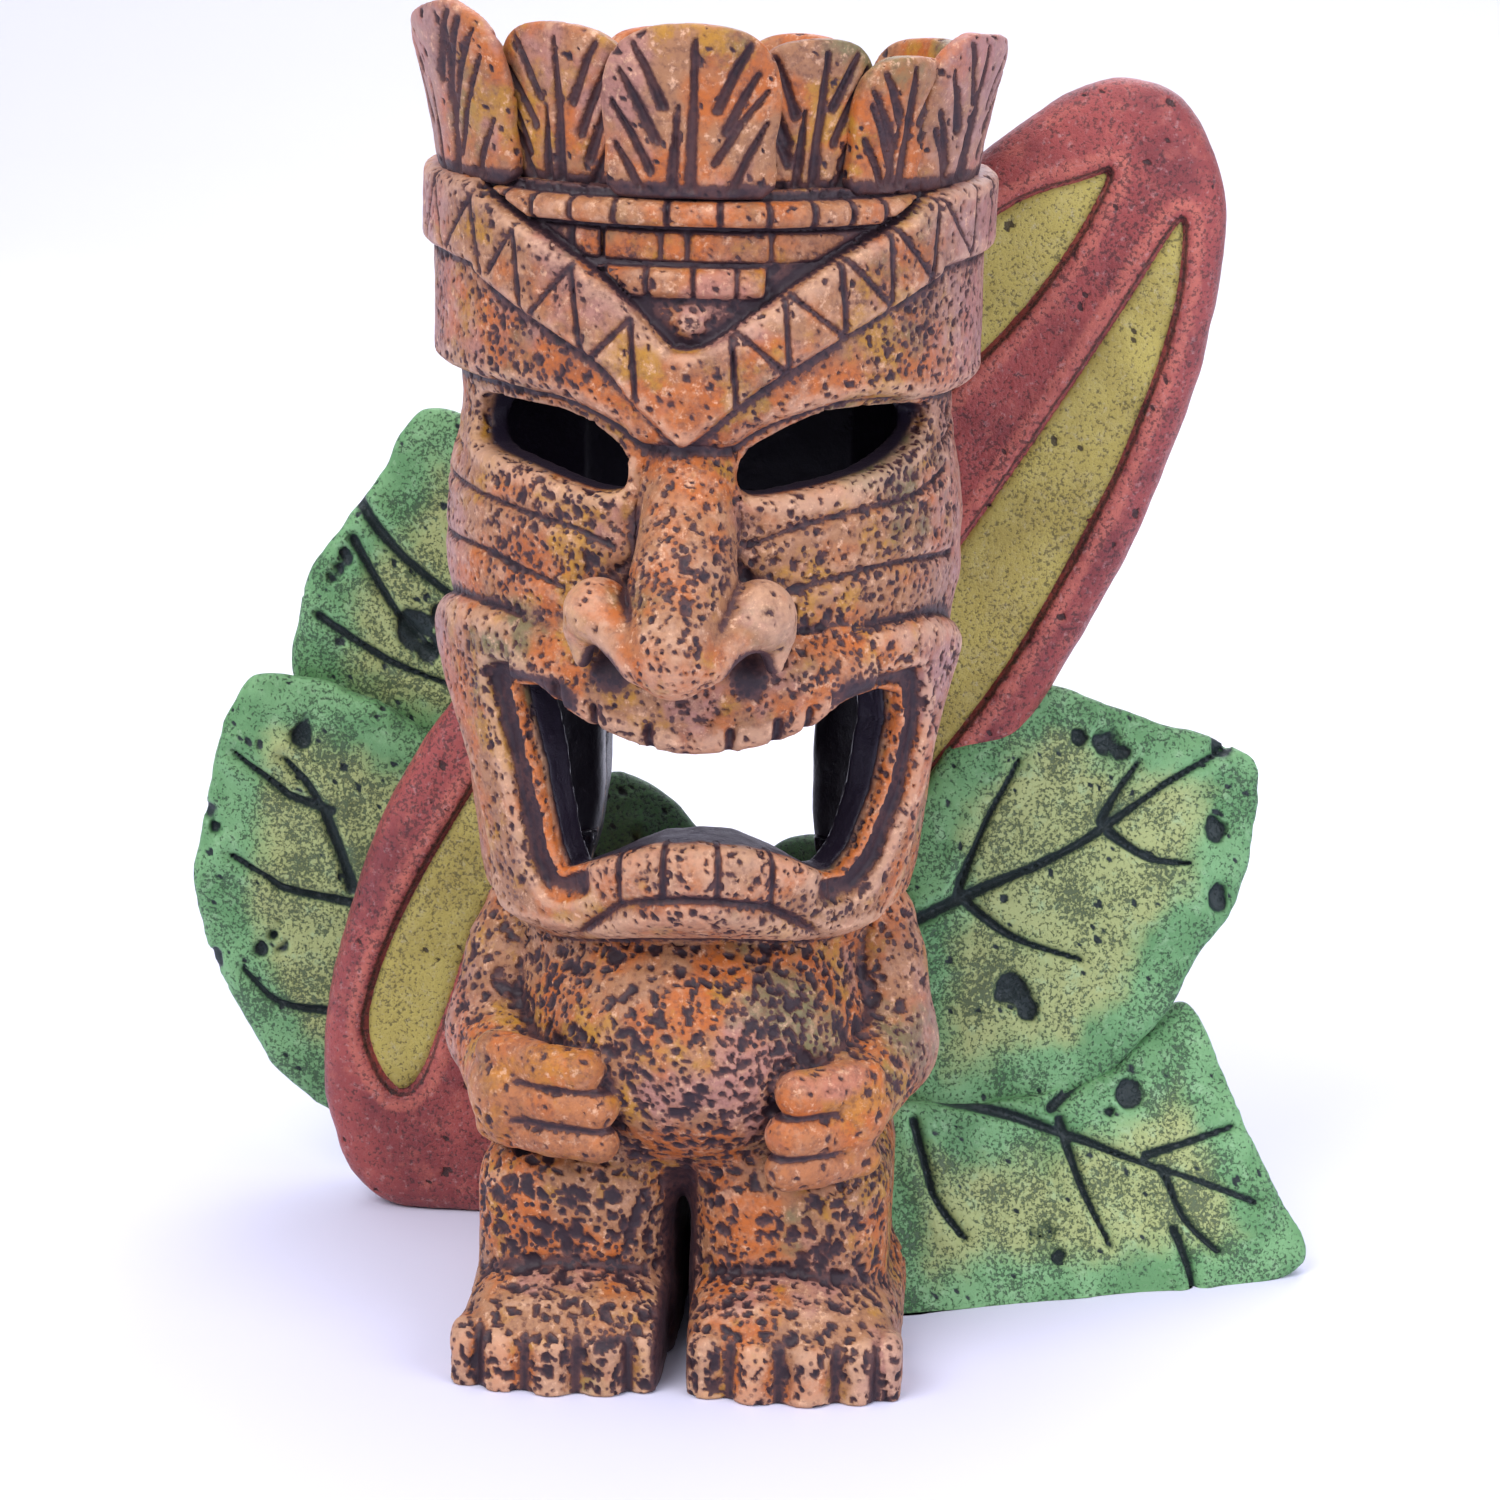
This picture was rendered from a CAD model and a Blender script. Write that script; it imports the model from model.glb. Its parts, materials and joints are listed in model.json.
"""Looks of the cast tiki ornament. Shapes are worked out in millimetres, with the log's axis at
x = y = 0 and the face towards -Y, and are moved to the row frame when they become meshes."""

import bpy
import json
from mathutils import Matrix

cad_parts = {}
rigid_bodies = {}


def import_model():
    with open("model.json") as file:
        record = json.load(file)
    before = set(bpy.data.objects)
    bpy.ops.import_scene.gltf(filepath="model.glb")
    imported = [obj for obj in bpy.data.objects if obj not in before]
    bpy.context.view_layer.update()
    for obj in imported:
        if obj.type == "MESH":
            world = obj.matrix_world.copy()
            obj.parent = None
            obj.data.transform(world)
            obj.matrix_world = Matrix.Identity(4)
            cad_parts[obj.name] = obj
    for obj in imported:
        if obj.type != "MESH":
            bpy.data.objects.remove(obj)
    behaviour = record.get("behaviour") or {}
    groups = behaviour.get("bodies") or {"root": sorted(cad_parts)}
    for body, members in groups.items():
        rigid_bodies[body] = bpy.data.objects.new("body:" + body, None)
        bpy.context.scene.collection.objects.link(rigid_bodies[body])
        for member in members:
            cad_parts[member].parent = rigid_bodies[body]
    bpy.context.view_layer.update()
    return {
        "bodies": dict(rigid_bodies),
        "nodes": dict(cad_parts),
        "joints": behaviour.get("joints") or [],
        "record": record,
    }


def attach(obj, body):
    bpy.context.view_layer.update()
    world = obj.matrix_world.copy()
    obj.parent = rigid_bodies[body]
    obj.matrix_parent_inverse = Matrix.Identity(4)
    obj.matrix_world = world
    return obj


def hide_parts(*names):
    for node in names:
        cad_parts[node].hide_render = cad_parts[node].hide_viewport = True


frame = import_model()

import json
import math
from itertools import product

import bpy
import numpy as np
import openvdb as vdb
from mathutils import Matrix, Vector

# Middle of the ornament's plan, measured from the log's axis, in mm
PLAN_CENTRE = np.array([3.56, 2.42, 0.0])
# Radius at which angles round the log are turned into lengths
ARC_R = 30.0
# The log's flat back, where the board's front begins
BOARD_Y = 22.0
# The eight corners of a grid cell
CORNERS = list(product((0, 1), repeat=3))

# ---------------------------------------------------------------- number helpers


def smooth_step(a, b, x):
    t = np.clip((x - a) / (b - a), 0, 1)
    return t * t * (3 - 2 * t)


def round_edge(inside, width):
    """0 at an edge, rising like a quarter circle to 1 at that width inside it."""
    t = np.clip(inside / width, 0, 1)
    return np.sqrt(np.clip(1 - (1 - t) ** 2, 0, 1))


def groove(distance, width):
    """1 on a line, falling to 0 at half of that width from it."""
    return 1 - smooth_step(0, 1, np.abs(distance) / (width / 2))


def swell(distance, width):
    """1 at no distance, fading away past that width."""
    return np.exp(-(distance / width) ** 2)


def chisel(x, y, points, start_width, end_width):
    """A cut along a few points that narrows from one end to the other: 1 on its line."""
    best = np.zeros(np.broadcast(x, y).shape, np.float32)
    count = len(points) - 1
    for i, ((x0, y0), (x1, y1)) in enumerate(zip(points[:-1], points[1:])):
        ex, ey = x1 - x0, y1 - y0
        t = np.clip(((x - x0) * ex + (y - y0) * ey) / (ex * ex + ey * ey + 1e-9), 0, 1)
        d = np.sqrt((x - x0 - t * ex) ** 2 + (y - y0 - t * ey) ** 2)
        width = start_width + (end_width - start_width) * (i + t) / count
        best = np.maximum(best, groove(d, width))
    return best


def box_blur(field, cells):
    """Average over a cube of grid cells, run twice for a softer edge."""
    out = field
    for axis in (0, 1, 2, 0, 1, 2):
        pad = [(0, 0), (0, 0), (0, 0)]
        pad[axis] = (cells + 1, cells)
        total = np.cumsum(np.pad(out, pad, mode="edge"), axis=axis, dtype=np.float32)
        n = field.shape[axis]
        high = np.take(total, range(2 * cells + 1, 2 * cells + 1 + n), axis=axis)
        out = (high - np.take(total, range(n), axis=axis)) / (2 * cells + 1)
    return out


def at(table, i, j):
    """Values of a table at fractional rows and columns."""
    i = np.clip(i, 0, table.shape[0] - 1.001)
    j = np.clip(j, 0, table.shape[1] - 1.001)
    a, b = i.astype(int), j.astype(int)
    f, g = i - a, j - b
    low = (1 - f) * table[a, b] + f * table[a + 1, b]
    high = (1 - f) * table[a, b + 1] + f * table[a + 1, b + 1]
    return (1 - g) * low + g * high


class Shade:
    """Where a solid is hollow (below 0) or standing proud (above 0), at two sizes, in mm."""

    def __init__(self, field, origin, step):
        near = np.clip(field, -2, 2).astype(np.float32)
        self.near = box_blur(near, 1) - near
        wide = np.clip(field, -4, 4).astype(np.float32)
        self.far = box_blur(wide, 4) - wide
        self.origin, self.step = np.asarray(origin), step

    def look(self, table, points):
        q = np.clip((points - self.origin) / self.step, 0, np.array(table.shape) - 1.001)
        i = q.astype(int)
        f = q - i
        total = np.zeros(len(points))
        for corner in CORNERS:
            wx, wy, wz = (np.abs(1 - step - f[:, axis]) for axis, step in enumerate(corner))
            total += wx * wy * wz * table[tuple((i + corner).T)]
        return total


def smin(a, b, k):
    """The smaller of two fields, blended over a width of k where they meet."""
    h = np.clip(0.5 + 0.5 * (b - a) / k, 0, 1)
    return b + (a - b) * h - k * h * (1 - h)


def smax(a, b, k):
    """The larger of two fields, blended over a width of k where they meet."""
    return -smin(-a, -b, k)


def rounded(a, b, radius):
    """Distance to the solid inside both a and b, with the edge between them rounded."""
    a, b = a + radius, b + radius
    outside = np.sqrt(np.maximum(a, 0) ** 2 + np.maximum(b, 0) ** 2)
    return outside + np.minimum(np.maximum(a, b), 0) - radius


def hash01(ix, iy, iz, seed):
    """A fixed number from 0 to 1 for every grid cell and seed."""
    h = (ix.astype(np.uint32) * np.uint32(374761393) + iy.astype(np.uint32) * np.uint32(668265263)
         + iz.astype(np.uint32) * np.uint32(2147483647 - 1) + np.uint32(seed) * np.uint32(974711))
    h = (h ^ (h >> np.uint32(13))) * np.uint32(1274126177)
    h = (h ^ (h >> np.uint32(15))) * np.uint32(2246822519)
    return ((h ^ (h >> np.uint32(16))) >> np.uint32(8)).astype(np.float32) / 16777216.0


def value_noise(p, size, seed):
    """Smooth noise from -1 to 1, with features of that size in mm."""
    q = p / size + 1000.0
    cell = np.floor(q)
    f = (q - cell).astype(np.float32)
    f = f * f * (3 - 2 * f)
    cell = cell.astype(np.int64)
    total = np.zeros(len(p), np.float32)
    for corner in CORNERS:
        wx, wy, wz = (f[:, k] if step else 1 - f[:, k] for k, step in enumerate(corner))
        total += wx * wy * wz * hash01(*(cell + corner).T, seed)
    return total * 2 - 1


def fractal_noise(p, size, octaves, seed):
    """Smooth noise with finer noise added to it, each layer half as strong and half as large."""
    total, weight, scale = 0.0, 0.0, 1.0
    for i in range(octaves):
        total = total + value_noise(p, size * scale, seed + 17 * i) * scale
        weight += scale
        scale *= 0.5
    return total / weight


def pits(p, size, density, seed, smallest=0.35):
    """Round bowls scattered through space: 1 at a bowl's middle, 0 outside every bowl."""
    q = p / size + 500.0
    base = np.floor(q - 0.5)
    best = np.zeros(len(p), np.float32)
    for corner in CORNERS:
        c = base + corner
        h = [hash01(*c.astype(np.int64).T, seed + k) for k in range(5)]
        radius = (0.5 * (smallest + (1 - smallest) * h[3])).astype(np.float32)
        d2 = sum((q[:, k] - c[:, k] - h[k]) ** 2 for k in range(3))
        best = np.maximum(best, np.where(h[4] < density, 1 - np.sqrt(d2) / radius, 0))
    return np.clip(best, 0, 1)


def spline(points, steps=6, closed=True):
    """Catmull-Rom curve through a few points."""
    pts = np.asarray(points, float)
    n = len(pts)
    out = []
    for i in range(n if closed else n - 1):
        if closed:
            a, b, c, d = pts[(i - 1) % n], pts[i], pts[(i + 1) % n], pts[(i + 2) % n]
        else:
            a, b, c, d = pts[max(i - 1, 0)], pts[i], pts[i + 1], pts[min(i + 2, n - 1)]
        for s in range(steps):
            t = s / steps
            out.append(0.5 * (2 * b + (c - a) * t + (2 * a - 5 * b + 4 * c - d) * t * t
                              + (3 * b - a - 3 * c + d) * t ** 3))
    if not closed:
        out.append(pts[-1])
    return np.array(out)


def line_distance(x, y, points):
    """Distance in a plane to a line through those points."""
    best = np.full(np.broadcast(x, y).shape, 1e9, np.float32)
    for (x0, y0), (x1, y1) in zip(points[:-1], points[1:]):
        ex, ey = x1 - x0, y1 - y0
        t = np.clip(((x - x0) * ex + (y - y0) * ey) / (ex * ex + ey * ey + 1e-9), 0, 1)
        best = np.minimum(best, (x - x0 - t * ex) ** 2 + (y - y0 - t * ey) ** 2)
    return np.sqrt(best)


def outline_distance(x, y, points):
    """Signed distance in a plane to a closed outline, negative inside it."""
    pts = np.asarray(points, float)
    d = line_distance(x, y, np.vstack([pts, pts[:1]]))
    inside = np.zeros(np.broadcast(x, y).shape, bool)
    for (x0, y0), (x1, y1) in zip(pts, np.roll(pts, -1, axis=0)):
        if y0 == y1:
            continue
        crosses = ((y0 > y) != (y1 > y)) & (x < (x1 - x0) * (y - y0) / (y1 - y0) + x0)
        inside ^= crosses
    return np.where(inside, -d, d)


# ---------------------------------------------------------------- meshes


def facing_out(points, quads):
    """The same quads, all turned round if they face into the solid."""
    a, b, c, d = (points[quads[:, k]] for k in range(4))
    volume = np.einsum("ij,ij->", a, np.cross(b, c)) + np.einsum("ij,ij->", a, np.cross(c, d))
    return quads[:, ::-1] if volume < 0 else quads


def keep_connected(points, quads, least):
    """Drops loose crumbs: every patch smaller than that share of the largest one."""
    label = np.arange(len(points))
    while True:
        low = np.minimum.reduce([label[quads[:, k]] for k in range(4)])
        new = label.copy()
        for k in range(4):
            np.minimum.at(new, quads[:, k], low)
        new = new[new]
        if np.array_equal(new, label):
            break
        label = new
    sizes = np.bincount(label, minlength=len(points))
    keep = sizes[label] >= least * sizes.max()
    if keep.all():
        return points, quads
    index = np.cumsum(keep) - 1
    return points[keep], index[quads[keep[quads[:, 0]]]]


def surface_of(field, origin, step, least=0.02):
    """The zero surface of a field sampled on a grid, as points in mm and quads facing outwards."""
    padded = np.pad(field.astype(np.float32), 1, constant_values=5.0)
    grid = vdb.FloatGrid(5.0)
    grid.copyFromArray(np.ascontiguousarray(padded), tolerance=0)
    points, quads = grid.convertToQuads(0.0)
    points = (points - 1.0) * step + np.asarray(origin)
    quads = facing_out(points, quads.astype(np.int64))
    return keep_connected(points, quads, least)


def corner_normals(points, quads):
    """A direction square to the surface at each point."""
    a, b, c, d = (points[quads[:, k]] for k in range(4))
    face = np.cross(c - a, d - b)
    normal = np.zeros_like(points)
    for axis in range(3):
        for k in range(4):
            normal[:, axis] += np.bincount(quads[:, k], face[:, axis], len(points))
    return normal / (np.linalg.norm(normal, axis=1)[:, None] + 1e-12)


def neighbour_mean(values, quads):
    """Each point's average over its neighbours along the quads' sides."""
    count = np.zeros(len(values))
    total = np.zeros_like(values)
    for k in range(4):
        i, j = quads[:, k], quads[:, (k + 1) % 4]
        for p, q in ((i, j), (j, i)):
            count += np.bincount(p, minlength=len(values))
            for axis in range(values.shape[1]):
                total[:, axis] += np.bincount(p, values[q, axis], len(values))
    return total / np.maximum(count, 1)[:, None]


def hollowness(points, quads, normal, rounds):
    """How far each point lies below the surface averaged round it, in mm."""
    smooth = points
    for _ in range(rounds):
        smooth = 0.3 * smooth + 0.7 * neighbour_mean(smooth, quads)
    return np.einsum("ij,ij->i", smooth - points, normal)


def add_piece(name, points, quads, masks, material, nodes):
    """A finished piece from points in mm, in place of its CAD nodes."""
    mesh = bpy.data.meshes.new(name)
    mesh.vertices.add(len(points))
    mesh.vertices.foreach_set("co", ((points - PLAN_CENTRE) / 1000).astype(np.float32).ravel())
    mesh.loops.add(4 * len(quads))
    mesh.loops.foreach_set("vertex_index", quads.astype(np.int32).ravel())
    mesh.polygons.add(len(quads))
    mesh.polygons.foreach_set("loop_start", np.arange(len(quads), dtype=np.int32) * 4)
    mesh.polygons.foreach_set("use_smooth", np.ones(len(quads), bool))
    mesh.update(calc_edges=True)
    mesh.validate()
    for key, values in masks.items():
        layer = mesh.attributes.new(key, "FLOAT", "POINT")
        layer.data.foreach_set("value", np.asarray(values, np.float32))
    mesh.materials.append(material)
    piece = bpy.data.objects.new(name, mesh)
    bpy.context.scene.collection.objects.link(piece)
    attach(piece, "root")
    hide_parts(*nodes)
    return piece


# ---------------------------------------------------------------- materials


class Paint:
    """One material's node tree, with short names for the nodes the paints are made of."""

    def __init__(self, name):
        self.material = bpy.data.materials.new(name)
        self.material.use_nodes = True
        self.tree = self.material.node_tree
        self.shader = self.tree.nodes["Principled BSDF"]
        place = self.tree.nodes.new("ShaderNodeTexCoord")
        self.place = place.outputs["Object"]

    def link(self, a, b):
        self.tree.links.new(a, b)

    def feed(self, value, socket):
        """Sets a socket to a number or a colour, or links another node to it."""
        if isinstance(value, (int, float)):
            socket.default_value = value
        elif isinstance(value, tuple):
            socket.default_value = (*value, 1)
        else:
            self.link(value, socket)

    def mask(self, name):
        """One of the values that add_piece stores at the mesh's points."""
        node = self.tree.nodes.new("ShaderNodeAttribute")
        node.attribute_name = name
        return node.outputs["Fac"]

    def noise(self, size_mm, detail, roughness, shift=0.0):
        node = self.tree.nodes.new("ShaderNodeTexNoise")
        node.noise_dimensions = "4D"
        node.inputs["W"].default_value = shift
        node.inputs["Scale"].default_value = 1000.0 / size_mm
        node.inputs["Detail"].default_value = detail
        node.inputs["Roughness"].default_value = roughness
        self.link(self.place, node.inputs["Vector"])
        return node.outputs["Fac"]

    def place_along(self, axis):
        """Position along one axis, in metres."""
        split = self.tree.nodes.new("ShaderNodeSeparateXYZ")
        self.link(self.place, split.inputs[0])
        return split.outputs[axis]

    def dots(self, size_mm):
        """Distance to the nearest of many scattered points."""
        node = self.tree.nodes.new("ShaderNodeTexVoronoi")
        node.inputs["Scale"].default_value = 1000.0 / size_mm
        self.link(self.place, node.inputs["Vector"])
        return node.outputs["Distance"]

    def ramp(self, value, low, high):
        """0 up to low, 1 from high on, smooth between them."""
        node = self.tree.nodes.new("ShaderNodeMapRange")
        node.interpolation_type = "SMOOTHSTEP"
        node.inputs["From Min"].default_value = low
        node.inputs["From Max"].default_value = high
        self.link(value, node.inputs["Value"])
        return node.outputs["Result"]

    def math(self, operation, *values):
        """A math node fed with numbers or other nodes' outputs."""
        node = self.tree.nodes.new("ShaderNodeMath")
        node.operation = operation
        for value, socket in zip(values, node.inputs):
            self.feed(value, socket)
        return node.outputs[0]

    def sum(self, a, b):
        return self.math("ADD", a, b)

    def scaled(self, value, factor, offset=0.0):
        return self.math("MULTIPLY_ADD", value, factor, offset)

    def mix(self, factor, a, b):
        node = self.tree.nodes.new("ShaderNodeMix")
        node.data_type = "RGBA"
        self.feed(factor, node.inputs[0])
        self.feed(a, node.inputs[6])
        self.feed(b, node.inputs[7])
        return node.outputs[2]

    def over(self, colour, new, where, amount=1.0):
        """A new colour laid over the first one, where and as strongly as asked."""
        return self.mix(where if amount == 1.0 else self.scaled(where, amount), colour, new)

    def patches(self, size_mm, detail, roughness, shift, low, high):
        """Soft-edged patches: 1 where a noise is above high, 0 where it is below low."""
        return self.ramp(self.noise(size_mm, detail, roughness, shift), low, high)

    def jitter(self, size_mm, detail, roughness, shift, spread):
        """A noise that swings about 0 instead of 0.5, to make an edge ragged."""
        return self.scaled(self.noise(size_mm, detail, roughness, shift), spread, -spread / 2)

    def sheen(self, weight, tint, specular):
        self.shader.inputs["Sheen Weight"].default_value = weight
        self.shader.inputs["Sheen Tint"].default_value = (*tint, 1)
        self.shader.inputs["Specular IOR Level"].default_value = specular

    def finish(self, colour, roughness, height, bump_mm):
        self.link(colour, self.shader.inputs["Base Color"])
        self.link(roughness, self.shader.inputs["Roughness"])
        bump = self.tree.nodes.new("ShaderNodeBump")
        bump.inputs["Strength"].default_value = 0.7
        bump.inputs["Distance"].default_value = bump_mm / 1000
        self.link(height, bump.inputs["Height"])
        self.link(bump.outputs["Normal"], self.shader.inputs["Normal"])
        self.shader.inputs["IOR"].default_value = 1.46
        return self.material


def log_paint(name):
    """Blotchy orange, ochre, pink and green paint, dark wash in the hollows, pale high spots."""
    n = Paint(name)
    wash, lift, inside, rim = n.mask("wash"), n.mask("lift"), n.mask("inside"), n.mask("rim")
    tan, orange, ochre = (0.350, 0.165, 0.072), (0.460, 0.122, 0.018), (0.420, 0.200, 0.022)
    pink, green, mauve = (0.400, 0.190, 0.140), (0.145, 0.155, 0.068), (0.370, 0.225, 0.235)
    colour = n.over(orange, tan, n.patches(13, 4, 0.6, 0.0, 0.43, 0.57))
    colour = n.over(colour, ochre, n.patches(8, 5, 0.62, 3.1, 0.52, 0.62))
    colour = n.over(colour, pink, n.patches(15, 4, 0.6, 21.7, 0.54, 0.64))
    colour = n.over(colour, green, n.patches(17, 5, 0.6, 7.7, 0.55, 0.66), 0.85)
    colour = n.over(colour, (0.58, 0.150, 0.020), rim, 0.9)
    grain = n.noise(0.9, 5, 0.72)
    streak = n.noise(2.6, 5, 0.7, 13.0)
    colour = n.over(colour, (0.50, 0.270, 0.145), n.ramp(streak, 0.50, 0.68), 0.5)
    colour = n.over(colour, (0.110, 0.040, 0.028), n.ramp(grain, 0.46, 0.70), 0.60)
    # mauve dust on the log's two sides
    beside = n.math("ABSOLUTE", n.sum(n.place_along(0), PLAN_CENTRE[0] / 1000.0))
    beside = n.ramp(n.sum(beside, n.scaled(streak, 0.012, -0.006)), 0.0245, 0.033)
    colour = n.over(colour, mauve, beside, 0.62)
    # dry-brushed high spots, then small pale scuffs everywhere
    lift = n.sum(lift, n.scaled(rim, -1.0))
    dry = n.ramp(n.sum(lift, n.scaled(streak, 1.7, -0.85)), 0.10, 0.85)
    colour = n.over(colour, (0.63, 0.380, 0.235), dry, 0.55)
    colour = n.over(colour, (0.76, 0.460, 0.275), n.patches(1.15, 5, 0.74, 41.0, 0.535, 0.68), 0.75)
    # thin wash, then the dark left in pits and cuts, then the black hollow
    speck = n.math("MULTIPLY", n.ramp(n.dots(0.95), 0.44, 0.20), n.scaled(n.mask("pore"), 0.70))
    cloud = n.scaled(n.patches(6.5, 4, 0.6, 31.0, 0.40, 0.62), 0.30, -0.10)
    ragged = n.sum(n.sum(wash, n.jitter(0.8, 4, 0.65, 5.0, 0.9)), n.sum(speck, cloud))
    colour = n.over(colour, (0.130, 0.050, 0.036), n.ramp(ragged, -0.05, 0.55), 0.60)
    dark = n.over((0.084, 0.034, 0.030), (0.026, 0.013, 0.018), n.ramp(ragged, 0.55, 1.1))
    colour = n.over(colour, dark, n.ramp(ragged, 0.36, 0.56))
    colour = n.over(colour, (0.014, 0.010, 0.020), inside)
    roughness = n.sum(n.scaled(grain, 0.28, 0.36), n.scaled(inside, -0.15))
    height = n.sum(n.scaled(grain, 0.8), n.scaled(n.ramp(ragged, 0.2, 0.6), -0.9))
    n.sheen(0.05, (1.0, 0.72, 0.80), 0.42)
    n.shader.inputs["Sheen Roughness"].default_value = 0.45
    return n.finish(colour, roughness, height, 0.24)


def speckled_paint(name, light, dark, edge, speck_mm, share):
    """Board paint: one colour with darker clouds, dark specks in the pores and a brighter rim."""
    n = Paint(name)
    colour = n.over(dark, light, n.patches(13, 4, 0.55, 0.0, 0.40, 0.62))
    colour = n.over(colour, edge, n.patches(2.4, 5, 0.65, 2.0, 0.48, 0.72), 0.45)
    high = n.ramp(n.sum(n.mask("lift"), n.jitter(1.2, 4, 0.7, 0.0, 1.2)), 0.25, 0.9)
    colour = n.over(colour, edge, high, 0.8)
    scuff = tuple(0.45 * c + 0.25 for c in edge)
    colour = n.over(colour, scuff, n.patches(1.0, 5, 0.74, 44.0, 0.54, 0.68), 0.45)
    fine = n.noise(speck_mm, 4, 0.72, 9.0)
    cloud = n.jitter(16, 3, 0.6, 12.0, 0.22)
    specks = n.ramp(n.sum(fine, cloud), 0.60 - share, 0.67 - share)
    pore = n.ramp(n.sum(n.mask("wash"), n.scaled(fine, 0.8, -0.4)), 0.25, 0.6)
    colour = n.over(colour, tuple(0.16 * c + 0.012 for c in dark), specks, 0.72)
    colour = n.over(colour, (0.024, 0.014, 0.014), pore, 0.85)
    colour = n.over(colour, (0.007, 0.006, 0.012), n.mask("inside"))
    height = n.sum(n.scaled(fine, -1.4), n.scaled(pore, -0.8))
    n.sheen(0.04, (1.0, 0.8, 0.85), 0.4)
    return n.finish(colour, n.scaled(fine, 0.30, 0.24), height, 0.30)


def leaf_paint(name):
    """Green towards the rim, yellower in the middle, blue-black in the cuts and bite marks."""
    n = Paint(name)
    wash, middle = n.mask("wash"), n.mask("middle")
    colour = n.over((0.108, 0.270, 0.100), (0.180, 0.385, 0.160),
                    n.patches(9, 4, 0.55, 0.0, 0.38, 0.62))
    warm = n.ramp(n.sum(middle, n.jitter(8, 4, 0.6, 4.0, 1.5)), 0.20, 0.95)
    colour = n.over(colour, (0.400, 0.435, 0.165), warm, 0.85)
    grain = n.noise(1.0, 5, 0.72)
    colour = n.over(colour, (0.340, 0.540, 0.300), n.patches(2.2, 5, 0.7, 15.0, 0.52, 0.70), 0.45)
    high = n.ramp(n.sum(n.mask("lift"), n.scaled(grain, 1.2, -0.6)), 0.10, 0.8)
    colour = n.over(colour, (0.270, 0.500, 0.260), high, 0.8)
    fine = n.noise(0.48, 4, 0.74, 6.0)
    patch = n.jitter(7, 4, 0.6, 8.0, 0.42)
    specks = n.ramp(n.sum(fine, n.sum(patch, n.scaled(middle, 0.03))), 0.52, 0.59)
    colour = n.over(colour, (0.024, 0.052, 0.026), specks, 0.80)
    dark = n.ramp(n.sum(wash, n.scaled(fine, 0.6, -0.3)), 0.30, 0.62)
    colour = n.over(colour, (0.022, 0.065, 0.030), n.ramp(wash, -0.05, 0.5), 0.62)
    colour = n.over(colour, (0.016, 0.028, 0.027), dark)
    height = n.sum(n.scaled(grain, 0.8), n.scaled(specks, -0.7))
    n.sheen(0.04, (0.8, 1.0, 0.9), 0.4)
    return n.finish(colour, n.scaled(grain, 0.28, 0.32), height, 0.28)


LOG = log_paint("log_paint")
BOARD = speckled_paint("board_paint", (0.340, 0.068, 0.058), (0.215, 0.040, 0.040),
                       (0.560, 0.160, 0.110), 0.52, 0.080)
STRIPE = speckled_paint("stripe_paint", (0.500, 0.425, 0.105), (0.390, 0.320, 0.075),
                        (0.560, 0.500, 0.200), 0.50, 0.075)
LEAF = leaf_paint("leaf_paint")


def weather(points, quads, pit, cut, rough=0.10, wide=8, shade=None, size=2.35):
    """Works pits and unevenness into a surface and returns it with its paint masks.

    pit is how densely it is pitted, cut where dark paint fills a carved line, rough how far it
    is uneven in mm, wide over how many cells its hollows are judged without a Shade, and size
    the largest pits' width in mm.
    """
    normal = corner_normals(points, quads)
    warp = np.stack([value_noise(points, 1.3, 40 + k) for k in range(3)], 1)
    warped = points + 0.23 * size * warp
    patch = smooth_step(-0.75, 0.35, fractal_noise(points, 13, 2, 3)) * np.minimum(pit * 1.3, 1.0)
    share = np.minimum(1.15 * pit, 1.0)
    shallow = np.where(pit > 0.95, 0.16, 0.34) * (1 - patch)
    big = pits(warped, size, share, 11, 0.55) - shallow
    small = pits(warped, 0.6 * size, share, 23, 0.5) - shallow
    bowl = np.maximum(smooth_step(0.0, 0.28, big), 0.85 * smooth_step(0.02, 0.32, small))
    worn = np.max(pit) > 0.95
    if worn:
        extra = pits(warped, 0.8 * size, share, 57, 0.5) - 0.6 * shallow
        bowl = np.maximum(bowl, smooth_step(0.05, 0.30, extra))
    if cut is not None:
        bowl = bowl * (1 - np.clip(cut, 0, 1))
    uneven = fractal_noise(points, 5.0, 3, 71)
    moved = points + normal * (rough * 2.2 * uneven - 0.42 * bowl)[:, None]
    if shade is None:
        normal = corner_normals(moved, quads)
        near = hollowness(moved, quads, normal, 3)
        far = hollowness(moved, quads, normal, wide)
    else:
        near = -1.5 * shade.look(shade.near, points)
        far = -1.1 * shade.look(shade.far, points)
    wash = (1.0 if worn else 0.78) * bowl
    wash = wash + np.clip(1.2 * near, 0, 0.6) + np.clip(1.0 * far - 0.05, 0, 0.9)
    if cut is not None:
        wash = np.maximum(wash, cut)
    lift = np.clip(-1.6 * far - 0.15, 0, 1) + np.clip(-1.0 * near, 0, 0.3)
    return moved, {"wash": wash, "lift": lift * (1 - bowl), "pore": pit * (0.35 + 0.65 * patch)}


# ---------------------------------------------------------------- the head, as a carved relief

HEAD_STEP = 0.42
HEAD_LOW = np.array([-36.5, -47.5, 49.0])
HEAD_HIGH = np.array([36.5, 33.0, 143.0])
ANGLE_STEP = 0.2
ANGLES = np.arange(-180, 180, ANGLE_STEP)
LEVELS = np.arange(HEAD_LOW[2], HEAD_HIGH[2], HEAD_STEP)
# The relief is worked out over (angle, height): angle in degrees, height, length round the log
TURN = ANGLES[:, None]
UP = LEVELS[None, :]
ACROSS = np.radians(TURN) * ARC_R


def along(angle):
    """Length round the log for an angle in degrees."""
    return math.radians(angle) * ARC_R


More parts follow.
